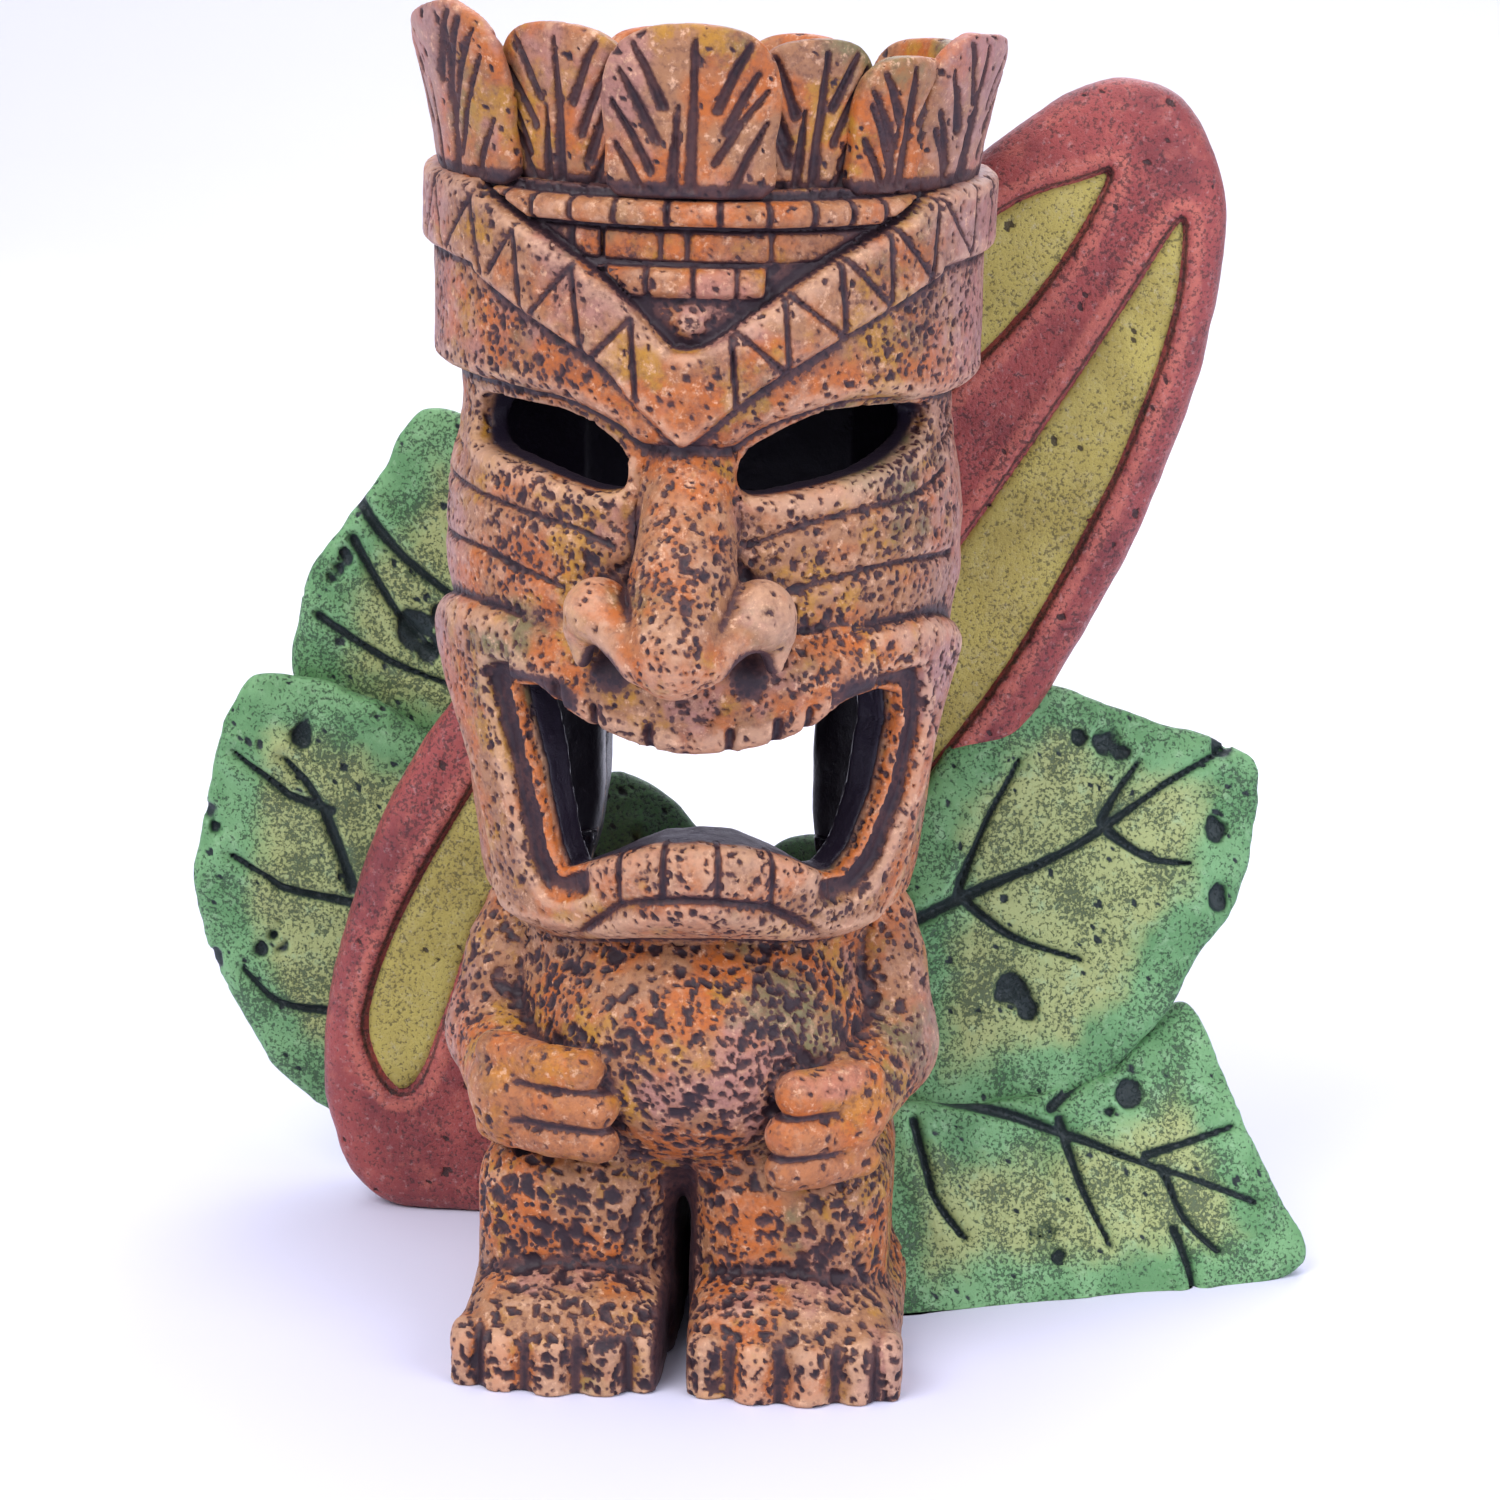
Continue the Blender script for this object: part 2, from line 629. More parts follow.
def arc(points):
    """(angle in degrees, height) pairs as (length round the log, height)."""
    return [(along(a), z) for a, z in points]


def edge_curve(points, steps=5):
    """A height for every angle, along a smooth line through a few (angle, height) pairs."""
    s = spline(points, steps, closed=False)
    return np.interp(ANGLES, s[:, 0], s[:, 1])[:, None]


def above(curve):
    """Distance above a line round the log, square to the line."""
    slope = np.gradient(curve[:, 0], along(ANGLE_STEP))[:, None]
    return (UP - curve) / np.sqrt(1 + slope ** 2)


# The log's radius at each height
LOG_Z = [49, 52, 54, 57, 70, 84, 92, 100, 105, 110, 114, 118, 128, 143]
LOG_R = [23.2, 24.0, 26, 26.7, 28.3, 29.6, 30.3, 30.9, 30.5, 29.4, 29.0, 29.3, 30.8, 31.0]
# Radius of the floor inside the headband's V
V_FLOOR_R = 30.9
base = np.tile(np.interp(LEVELS, LOG_Z, LOG_R), (len(ANGLES), 1))

band_top = edge_curve([
    (-180, 141.3), (-62, 141.3), (-49, 140.2), (-32, 136.2), (-15, 130.7), (-4, 124.9), (0, 123.8),
    (6, 124.8), (18, 129.6), (30, 133.7), (44, 137.4), (56, 140.3), (80, 141.3), (180, 141.3)])
band_foot = edge_curve([
    (-180, 131.8), (-64, 131.6), (-47, 129.4), (-33, 126.1), (-18, 121.8), (-11, 117.8),
    (-3, 113.6), (0, 112.6), (4, 114.0), (15, 119.2), (29, 123.8), (40, 126.9), (56, 130.4),
    (71, 132.0), (180, 132.2)])
brow_foot = edge_curve([
    (-180, 117.6), (-56, 117.6), (-44, 117.5), (-27, 116.9), (-15, 114.7), (-10, 112.8), (0, 112.0),
    (10, 112.4), (18, 114.8), (35, 117.2), (49, 117.1), (66, 116.2), (180, 116.2)])
eye_left = arc([
    (-64, 112), (-61, 115.2), (-49, 115.6), (-30, 115.3), (-19.5, 113.4), (-14, 111.2),
    (-12.7, 108.6), (-15, 107), (-24, 106.9), (-42, 108.5), (-59, 109.4)])
eye_right = arc([
    (69, 113.5), (66, 115.2), (44, 116.2), (30, 115.6), (19, 113.4), (13, 111.2), (11.5, 108.6),
    (15, 106.8), (26, 107.2), (42, 108.4), (52, 109.4), (62, 111.2)])
cheek_cuts = [arc([(-84, 104.5), (-57, 104.2), (-37, 103.2), (-24, 102.2), (-15, 100.6)]),
              arc([(-84, 97), (-57, 97.8), (-40, 96.7), (-27, 95.2)]),
              arc([(14, 101.2), (26, 103.3), (41, 104.5), (57, 105.2), (74, 107)]),
              arc([(24, 95.8), (39, 97.4), (54, 97.8), (76, 96.9)]),
              arc([(-100, 112), (-84, 109), (-70, 108)]), arc([(76, 110), (100, 113)])]
mouth_outside = arc([
    (-84, 84.5), (-80, 89), (-66, 91), (-50, 91.5), (-30, 90.6), (-14, 90), (0, 90.5), (14, 90),
    (31, 90), (48, 91), (66, 90.5), (80, 88), (81, 84), (74, 78), (68, 67), (64, 58), (55, 52.6),
    (41, 51.6), (19, 53.4), (3, 53.8), (-13, 52.9), (-33, 51.2), (-47, 51.3), (-56, 54.2),
    (-56, 61), (-62, 71), (-72, 78)])
lip_line = [
    (-60, 83.0), (-40, 83.2), (-32, 83.2), (-25, 81.0), (-16, 79.0), (-6.5, 77.4), (2.5, 76.8),
    (11.5, 77.2), (20.6, 78.2), (29, 79.9), (36, 82.4), (46, 83.4), (66, 83.0)]
gum_line = [
    (-60, 58), (-33, 60.4), (-28, 60.8), (-15, 63.9), (-5, 66.1), (5, 66.6), (14.5, 66.1),
    (25, 64.1), (36, 61.3), (42, 60.8), (70, 58)]
lip_edge, gum_edge = edge_curve(lip_line), edge_curve(gum_line)
lip_cut = edge_curve([
    (-60, 50), (-34, 51.6), (-24, 53.9), (-17, 56.6), (-10.7, 58.8), (3, 60.2), (17, 59.2),
    (25, 57.1), (34, 54.2), (44, 51.8), (70, 50)])
mouth_left = [(-40.5, 82.6), (-35.8, 73.8), (-32, 63.4), (-29.5, 60.9)]
mouth_right = [(40, 61.2), (45.3, 63.5), (51.4, 70.3), (54.4, 78.5), (52.6, 82.3), (46.5, 83.2)]
# down the left corner, along the teeth, up the right corner and back along the upper lip
mouth_hole = arc(mouth_left + gum_line[3:9] + mouth_right + lip_line[10:1:-1])

# distance to the outline of each part of the face, below 0 inside it
d_band = np.maximum(-above(band_foot), above(band_top))
d_brow = np.maximum(-above(brow_foot), above(band_foot))
d_eye = np.minimum(outline_distance(ACROSS, UP, spline(eye_left, 3)),
                   outline_distance(ACROSS, UP, spline(eye_right, 3)))
d_frame = outline_distance(ACROSS, UP, spline(mouth_outside, 3))
d_mouth = outline_distance(ACROSS, UP, mouth_hole)
d_teeth_up = np.maximum(np.maximum(-above(lip_edge), above(lip_edge + 4.2)),
                        np.abs(ACROSS - 0.5) - 15.5)
d_gum = np.maximum(np.maximum(above(gum_edge), -above(lip_cut)), np.abs(ACROSS - 3.0) - 16.5)
d_lip = np.maximum(np.maximum(above(lip_cut), d_frame), np.abs(ACROSS - 2.5) - 14.5)
# above 0 inside the headband's V
V_INSIDE = above(band_top + 0.4)
# 1 at both ends of the mouth, 0 along its lips
BESIDE_MOUTH = smooth_step(13.0, 15.5, np.abs(ACROSS - 3.2)) * smooth_step(86, 84.5, UP)
# each row's foot, top, radius, the angle where it ends, and the angles of its cuts
ROWS = {"forehead_row_upper": (137.2, 140.4, 33.3, 60,
                               [-41, -33, -24, -14.6, -3.8, 6.6, 16.3, 25.6, 34, 41.8]),
        "forehead_row_middle": (133.4, 137.0, 31.6, 60, [-25, -18, -5.4, 0.1, 17.4]),
        "forehead_row_lower": (129.5, 132.9, 32.5, 16.5, [-17, -8, 1.5, 10.3])}


def row_distance(foot, top, end):
    """Distance to the outline of one row inside the V, below 0 inside it."""
    level = np.maximum(np.maximum(foot - UP, UP - top), -V_INSIDE)
    return np.maximum(level, ACROSS - along(end))


class Relief:
    """The carved log's radius everywhere, and how much dark paint fills its carved lines."""

    def __init__(self):
        self.height = base.copy()
        self.cut = np.zeros_like(base)

    def darken(self, mask):
        self.cut = np.maximum(self.cut, mask)

    def raise_to(self, height, where):
        self.height = np.where(where, np.maximum(self.height, height), self.height)


def carve_cheeks(relief):
    """Lower eyelids, cheek swellings and the cut lines across the cheeks."""
    relief.height += 0.5 * swell(d_eye - 0.9, 1.3) * (UP < 111)
    relief.height += 0.5 * swell(UP - 93.5, 3.0) * smooth_step(20, 32, np.abs(TURN))
    for line in cheek_cuts:
        d = line_distance(ACROSS, UP, spline(line, 4, closed=False))
        relief.height -= 0.65 * groove(d, 1.15)
        relief.height += 0.18 * groove(d - 1.5, 2.2)
        relief.darken(0.85 * groove(d, 0.95))


def carve_brows(relief):
    """Swollen brows under the headband, then the floor inside its V with one knob."""
    brow = base + (2.9 + 0.5 * np.sin(np.pi * np.clip(above(brow_foot) / 14, 0, 1))) \
        * round_edge(-np.maximum(-above(brow_foot), above(band_foot) - 3), 2.0)
    relief.raise_to(np.minimum(brow, 32.5), d_brow < 1.5)
    relief.height = np.where(V_INSIDE > -0.5, V_FLOOR_R, relief.height)
    knob = np.hypot(ACROSS - 0.5, UP - 126.6)
    relief.height += 1.5 * swell(knob, 1.5) * (V_INSIDE > -1.5)


def carve_rows(relief):
    """The rows of segments inside the V, with a thin wash over the sunken middle one."""
    for foot, top, radius, end, cuts in ROWS.values():
        inside = -row_distance(foot, top, end)
        row = V_FLOOR_R + (radius - V_FLOOR_R) * round_edge(inside, 1.1)
        row = np.where(inside > 0, row, 0)
        for angle in cuts:
            g = groove(ACROSS - along(angle), 1.1)
            row = row - 0.95 * g
            relief.darken(np.where(inside > 0, g, 0))
        relief.height = np.maximum(relief.height, row)
    relief.darken(0.22 * ((UP > 132.9) & (UP < 137.1) & (V_INSIDE > 0)))


def zigzag_strokes():
    """The headband's cut strokes, each from its upper to its lower edge."""
    tops_left = [(-49.9, 138.8), (-36.7, 136.0), (-22.8, 132.6), (-10.4, 127.2)]
    feet_left = [(-59.8, 132.6), (-43.8, 130.8), (-32.2, 126.8), (-19.3, 122.0)]
    posts_left = [(-46.4, 130.5), (-34.7, 126.8), (-20.6, 122.8), (-9.2, 117.8)]
    tops_right = [(9.0, 126.6), (19.4, 130.6), (30.6, 134.8), (42.2, 138.0), (55.5, 140.6),
                  (71, 141.0)]
    feet_right = [(10.4, 116.8), (20.6, 121.0), (32.4, 125.0), (43.0, 128.0), (54.0, 130.8),
                  (69, 132.6)]
    strokes = list(zip(tops_left, feet_left)) + list(zip(tops_left, posts_left))
    strokes += list(zip(tops_right, feet_right)) + list(zip(tops_right[:-1], feet_right[1:]))
    # round both sides it carries on evenly, with strokes that lean 7 and -4 degrees
    for way, angles in ((1, range(82, 138, 11)), (-1, range(66, 134, 11))):
        for lean in (7, -4):
            strokes += [((way * a, 140.6), (way * (a + lean), 132.6)) for a in angles]
    return strokes


def carve_headband(relief):
    """The raised band with its zigzag."""
    band = np.where(d_band < 0, 31.2 + 2.7 * round_edge(-d_band, 1.2), 0)
    d = np.full_like(base, 1e9)
    for top, foot in zigzag_strokes():
        d = np.minimum(d, line_distance(ACROSS, UP, arc([top, foot])))
    on_band = d_band < -0.3
    band = np.where(on_band, band - 0.75 * groove(d, 1.0), band)
    relief.darken(np.where(on_band, 0.95 * groove(d, 0.95), 0))
    relief.height = np.maximum(relief.height, band)


def carve_mouth_frame(relief):
    """A fat outer lip, a cut, then a thin inner rim; the jaw swells in its middle."""
    frame = base + 2.7 * round_edge(-d_frame, 3.4)
    frame += 4.0 * swell(ACROSS - 3, 10.5) * swell(UP - 62, 7.0) * (UP < 72) \
        * round_edge(-d_frame, 2.5)
    frame -= 0.9 * smooth_step(4.3, 3.2, d_mouth) * BESIDE_MOUTH
    rim_cut = smooth_step(0.65, 1.0, d_mouth) * smooth_step(3.8, 3.2, d_mouth)
    rim_cut = rim_cut * BESIDE_MOUTH * smooth_step(57.5, 59.5, UP)
    frame -= 0.9 * rim_cut
    relief.darken(0.9 * rim_cut)
    relief.raise_to(frame, d_frame < 0)


def carve_upper_lip(relief):
    """The upper lip hanging over the mouth, with tooth notches, one of them faint."""
    lip = 30.8 + 2.6 * round_edge(above(lip_edge), 2.4) * smooth_step(92, 86, UP)
    lip = np.where((np.abs(ACROSS - 1) < 21) & (UP > 74), lip, 0)
    relief.raise_to(lip, d_frame < 1)
    notch_top = lip_edge + 3.4
    for angle, depth in ((-25.8, 1), (-17.4, 1), (-5.9, 1), (1.5, 0.3), (10.4, 1), (20.1, 1),
                         (26.8, 1)):
        g = groove(ACROSS - along(angle), 1.7) * smooth_step(0.6, -0.6, UP - notch_top)
        g = g * depth * ((UP > 72) & (d_mouth < 5))
        relief.height -= 1.3 * g
        relief.darken(g)


def carve_lower_teeth(relief):
    """Lower teeth, a curved cut under them, then the lower lip."""
    on_jaw = (d_frame < -0.3) & (UP < 72)
    for angle in (-12.4, -2.5, 8.4, 20):
        g = groove(ACROSS - along(angle), 1.15) * smooth_step(-0.3, 0.8, above(lip_cut))
        relief.height -= 0.8 * g * on_jaw
        relief.darken(g * on_jaw)
    across = np.abs(ACROSS - 2.5)
    under = groove(above(lip_cut), 1.7) * smooth_step(18.5, 13, across) * on_jaw
    relief.height -= 0.8 * under
    relief.darken(0.95 * under)
    relief.height += 0.7 * swell(above(lip_cut) + 2.6, 1.6) * smooth_step(17, 12, across) * on_jaw


def carved_relief():
    relief = Relief()
    for carve in (carve_cheeks, carve_brows, carve_rows, carve_headband, carve_mouth_frame,
                  carve_upper_lip, carve_lower_teeth):
        carve(relief)
    # the surface turns in at the mouth's and the eyes' edges
    edge = np.maximum(np.minimum(d_mouth, d_eye + 0.4), 0)
    relief.height -= 0.8 * (1 - round_edge(edge, 1.7))
    return relief.height, relief.cut


height, cut = carved_relief()
rim_mask = smooth_step(1.0, 0.65, d_mouth) * BESIDE_MOUTH * (d_mouth > -3)

# outline of every carved piece that covers the log
REGIONS = {"headband": d_band,
           "brow_left": np.maximum(d_brow, ACROSS), "brow_right": np.maximum(d_brow, -ACROSS),
           "upper_teeth": d_teeth_up, "lower_teeth": d_gum, "lower_lip": d_lip}
for row_name, (foot, top, radius, end, cuts) in ROWS.items():
    REGIONS[row_name] = row_distance(foot, top, end)
REGIONS["mouth_frame"] = np.maximum.reduce([d_frame, -d_teeth_up, -d_gum, -d_lip])
cover = np.minimum.reduce(list(REGIONS.values()))
# how densely a piece is pitted, and the radius at which its underside is cut, if not the usual
PIT_OF = {"headband": 0.40, "upper_teeth": 0.6, "lower_teeth": 0.6, **dict.fromkeys(ROWS, 0.3)}
FLOOR_OF = {"headband": 31.0, **dict.fromkeys(ROWS, 30.6)}

axis_x = np.arange(HEAD_LOW[0], HEAD_HIGH[0], HEAD_STEP)
axis_y = np.arange(HEAD_LOW[1], HEAD_HIGH[1], HEAD_STEP)


class Block:
    """Part of the head's grid between two corners, with lookups from (angle, height) tables."""

    def __init__(self, low, high):
        self.ix = np.searchsorted(axis_x, [low[0], high[0]])
        self.iy = np.searchsorted(axis_y, [low[1], high[1]])
        self.iz = np.searchsorted(LEVELS, [low[2], high[2]])
        xs, ys = axis_x[slice(*self.ix)], axis_y[slice(*self.iy)]
        self.zs = LEVELS[slice(*self.iz)]
        self.x, self.y = xs[:, None, None], ys[None, :, None]
        self.z = self.zs[None, None, :]
        flat = np.degrees(np.arctan2(xs[:, None], -ys[None, :]))
        self.row = (np.round((flat + 180) / ANGLE_STEP).astype(int)) % len(ANGLES)
        self.r = np.hypot(xs[:, None], ys[None, :])[:, :, None].astype(np.float32)
        self.origin = (xs[0], ys[0], self.zs[0])

    def look(self, table):
        return table[:, slice(*self.iz)].astype(np.float32)[self.row]


def capsule(x, y, z, a, b, ra, rb):
    """Distance to a round-ended bar whose radius runs from ra at a to rb at b."""
    a, b = np.asarray(a, float), np.asarray(b, float)
    e = b - a
    t = np.clip(((x - a[0]) * e[0] + (y - a[1]) * e[1] + (z - a[2]) * e[2]) / (e @ e), 0, 1)
    d = np.sqrt((x - a[0] - t * e[0]) ** 2 + (y - a[1] - t * e[1]) ** 2
                + (z - a[2] - t * e[2]) ** 2)
    return d - (ra + (rb - ra) * t)


def ball(x, y, z, c, radii):
    """Roughly the distance to an ellipsoid."""
    q = np.sqrt(((x - c[0]) / radii[0]) ** 2 + ((y - c[1]) / radii[1]) ** 2
                + ((z - c[2]) / radii[2]) ** 2)
    return (q - 1) * min(radii)


def nostril(x, y, z, s, cx):
    """The hollow under one of the nose's wings."""
    return ball(x, y, z, (cx - s * 1.0, -37.0, 87.2), (2.4, 5.0, 3.0))


def nose_field(x, y, z):
    """Straight bridge, drooping tip and two round wings that sweep into the tip."""
    d = capsule(x, y, z, (0.7, -27.2, 109.5), (0.5, -34.6, 97.5), 5.1, 6.0)
    d = smin(d, capsule(x, y, z, (0.5, -34.6, 97.5), (0.2, -39.0, 92.6), 6.0, 5.2), 1.0)
    d = smin(d, ball(x, y, z, (0.0, -40.2, 90.3), (4.7, 5.0, 4.7)), 2.0)
    for s, cx, r in ((-1, -9.2, 3.9), (1, 9.2, 4.2)):
        wing = ball(x, y, z, (cx, -34.4, 94.1), (r, r + 0.6, r))
        wing = smin(wing, capsule(x, y, z, (cx + s * 2.2, -34.0, 91.8),
                                  (cx + s * 1.5, -33.8, 88.6), 1.8, 1.3), 1.0)
        wing = smin(wing, capsule(x, y, z, (cx - s * 1.0, -36.6, 93.6),
                                  (cx - s * 5.6, -40.2, 89.9), 2.5, 2.7), 1.2)
        d = smin(d, wing, 0.9)
        d = smax(d, -nostril(x, y, z, s, cx), 0.7)
    return d


def back_window(x, z):
    """Distance to the window through the back, which widens towards its foot."""
    half = 13.3 + np.minimum(0.014 * np.maximum(60 - z, 0) ** 2, 2.5)
    return np.maximum(np.abs(x + 0.6) - half, np.abs(z - 63) - 25)


def head_field(block, table):
    """Carved head solid on a block: hollow, with its eye holes, mouth, window and flat back."""
    f = block.r - block.look(table)
    f = smin(f, nose_field(block.x, block.y, block.z), 1.2)
    inner = np.interp(block.zs, [40, 50, 70, 99, 112, 120, 126, 128.5], [20.4, 21.2, 23.5, 25, 25,
                                                                        22, 13, 0])
    cavity = np.maximum(block.r - inner[None, None, :].astype(np.float32), block.y - 18.8)
    f = smax(f, np.where(block.z < 128.5, -cavity, -5), 0.6)
    front = (block.y < 0)
    f = smax(f, np.where(front, -block.look(np.minimum(d_eye, d_mouth)), -5), 0.5)
    window = np.maximum(back_window(block.x, block.z), 2 - block.y)
    f = smax(f, -window, 1.2)
    return np.maximum(f, block.y - BOARD_Y)


def finish_head(name, field, block, nodes, pit, shade, rough=0.10):
    """One piece of the head from its field, with its cuts, pits and masks."""
    points, quads = surface_of(field, block.origin, HEAD_STEP)
    row = (np.degrees(np.arctan2(points[:, 0], -points[:, 1])) + 180) / ANGLE_STEP
    level = (points[:, 2] - LEVELS[0]) / HEAD_STEP
    radius = np.hypot(points[:, 0], points[:, 1])
    # depth below the carved outside, so that cuts stay on the outside and the hollow is black
    deep = at(height, row, level) - radius
    dark = at(cut, row, level) * smooth_step(3.2, 1.2, deep)
    for s, cx in ((-1, -9.0), (1, 9.2)):
        d = nostril(points[:, 0], points[:, 1], points[:, 2], s, cx)
        dark = np.maximum(dark, 0.85 * smooth_step(1.5, 0.2, d))
    inside = smooth_step(1.1, 2.2, deep) * (points[:, 2] < 130) * (points[:, 1] < 21.5)
    # fewer pits on the nose's two wings, none in the hollow
    wing = (np.hypot(np.abs(points[:, 0]) - 9.5, points[:, 2] - 93) < 6) * (points[:, 1] < -31)
    pit = pit * (1 - 0.7 * wing) * (1 - inside)
    moved, masks = weather(points, quads, pit, dark, rough, shade=shade, size=1.6)
    masks["inside"] = inside
    masks["rim"] = np.clip(at(rim_mask, row, level), 0, 1) * smooth_step(1.3, 0.7, deep)
    if name in ROWS:
        masks["lift"] *= 0.35
        masks["rim"] = np.full(len(points), 0.18)
    elif name in ("headband", "brow_left", "brow_right"):
        masks["lift"] *= 0.6
        masks["wash"] += 0.07
    add_piece(name, moved, quads, masks, LOG, nodes)


def build_head():
    """The hollow log first, then every carved part that covers it, then the nose."""
    nose_cut = 0.3
    # the log keeps a little below the pieces that cover it
    shell_h = np.where(cover < 0, np.maximum(np.minimum(height, base - 0.8),
                                             height + 1.3 * cover), height)
    whole = Block(HEAD_LOW, HEAD_HIGH)
    # a ledge carries the rear crown leaves past the flat back
    reach = np.hypot(whole.x, whole.y)
    ledge = smax(reach - 30.6, 0.85 * (134.0 + 0.55 * (reach - 22.0) - whole.z), 1.2)
    ledge = np.maximum(ledge, whole.z - 141.5)
    shade = Shade(np.minimum(head_field(whole, height), ledge), whole.origin, HEAD_STEP)
    f = head_field(whole, shell_h)
    f = np.maximum(f, nose_cut - nose_field(whole.x, whole.y, whole.z))
    f = np.minimum(np.maximum(f, np.abs(whole.z - 95.75) - 45.75), ledge)
    finish_head("head_log", f, whole, ["head_jaw", "head_eye_ring", "head_cap"], 0.75, shade)
    del f, whole
    for name, region in REGIONS.items():
        used = region < 0.8
        rows, cols = np.where(used.any(1))[0], np.where(used.any(0))[0]
        z0, z1 = LEVELS[cols[0]] - 1.5, LEVELS[cols[-1]] + 1.5
        # a box round the piece, from inside the log's wall to beyond its outside
        angles = np.radians(ANGLES[rows])
        xs = np.concatenate([r * np.sin(angles) for r in (26, 37)])
        ys = np.concatenate([-r * np.cos(angles) for r in (26, 37)])
        block = Block((xs.min() - 1, ys.min() - 1, z0),
                      (xs.max() + 1, min(ys.max() + 1, 24), z1))
        bottom = base - 1.2
        if name in FLOOR_OF:
            bottom = np.full_like(base, FLOOR_OF[name])
        f = head_field(block, height - 0.6 * np.clip(region, 0, 1))
        f = np.maximum(f, block.look(bottom) - block.r)
        f = np.maximum(f, block.look(region) - 0.45)
        f = np.maximum(f, nose_cut - nose_field(block.x, block.y, block.z))
        finish_head(name, f, block, [name], PIT_OF.get(name, 0.7), shade, 0.07)
    block = Block((-18, -48, 82), (20, -26, 118))
    nose = nose_field(block.x, block.y, block.z)
    f = head_field(block, height) + 0.5 * np.clip(nose - nose_cut, 0, 1)
    f = np.maximum(np.maximum(f, nose - 0.8), block.look(base - 1.2) - block.r)
    finish_head("nose", f, block, ["nose"], 0.75, shade, 0.08)


# ---------------------------------------------------------------- crown of carved leaves

CROWN_Z = 141.4
CROWN_R = 32.4
CROWN_THICK = 3.1
# Radius at which a leaf's width is bent round the log
CROWN_BEND_R = 32.5
CROWN_STEP = 0.36
# angle, width, height, how far it stands out, how far its tip leans out
CROWN = [(0.5, 20.6, 18.7, 0.5, 1.6), (26.5, 17.8, 17.0, -2.2, 1.6), (47, 14.5, 14.9, -0.4, 1.8),
         (69, 19.5, 16.9, 0.2, 3.0), (100, 17, 14.0, -2.2, 2.0), (131, 17.5, 13.4, 0.0, 1.6),
         (163, 17, 13.0, -2.2, 1.5), (195, 18, 13.4, 0.0, 1.5), (227, 17.5, 13.2, -2.2, 1.6),
         (256, 17, 14.6, -2.2, 2.0), (-62, 26.5, 19.6, 0.6, 3.6), (-29.5, 20.5, 18.0, -2.2, 2.0)]
# How far sideways the tip of the two most lopsided leaves lies
CROWN_LOP = {10: 4.4, 3: -1.5}


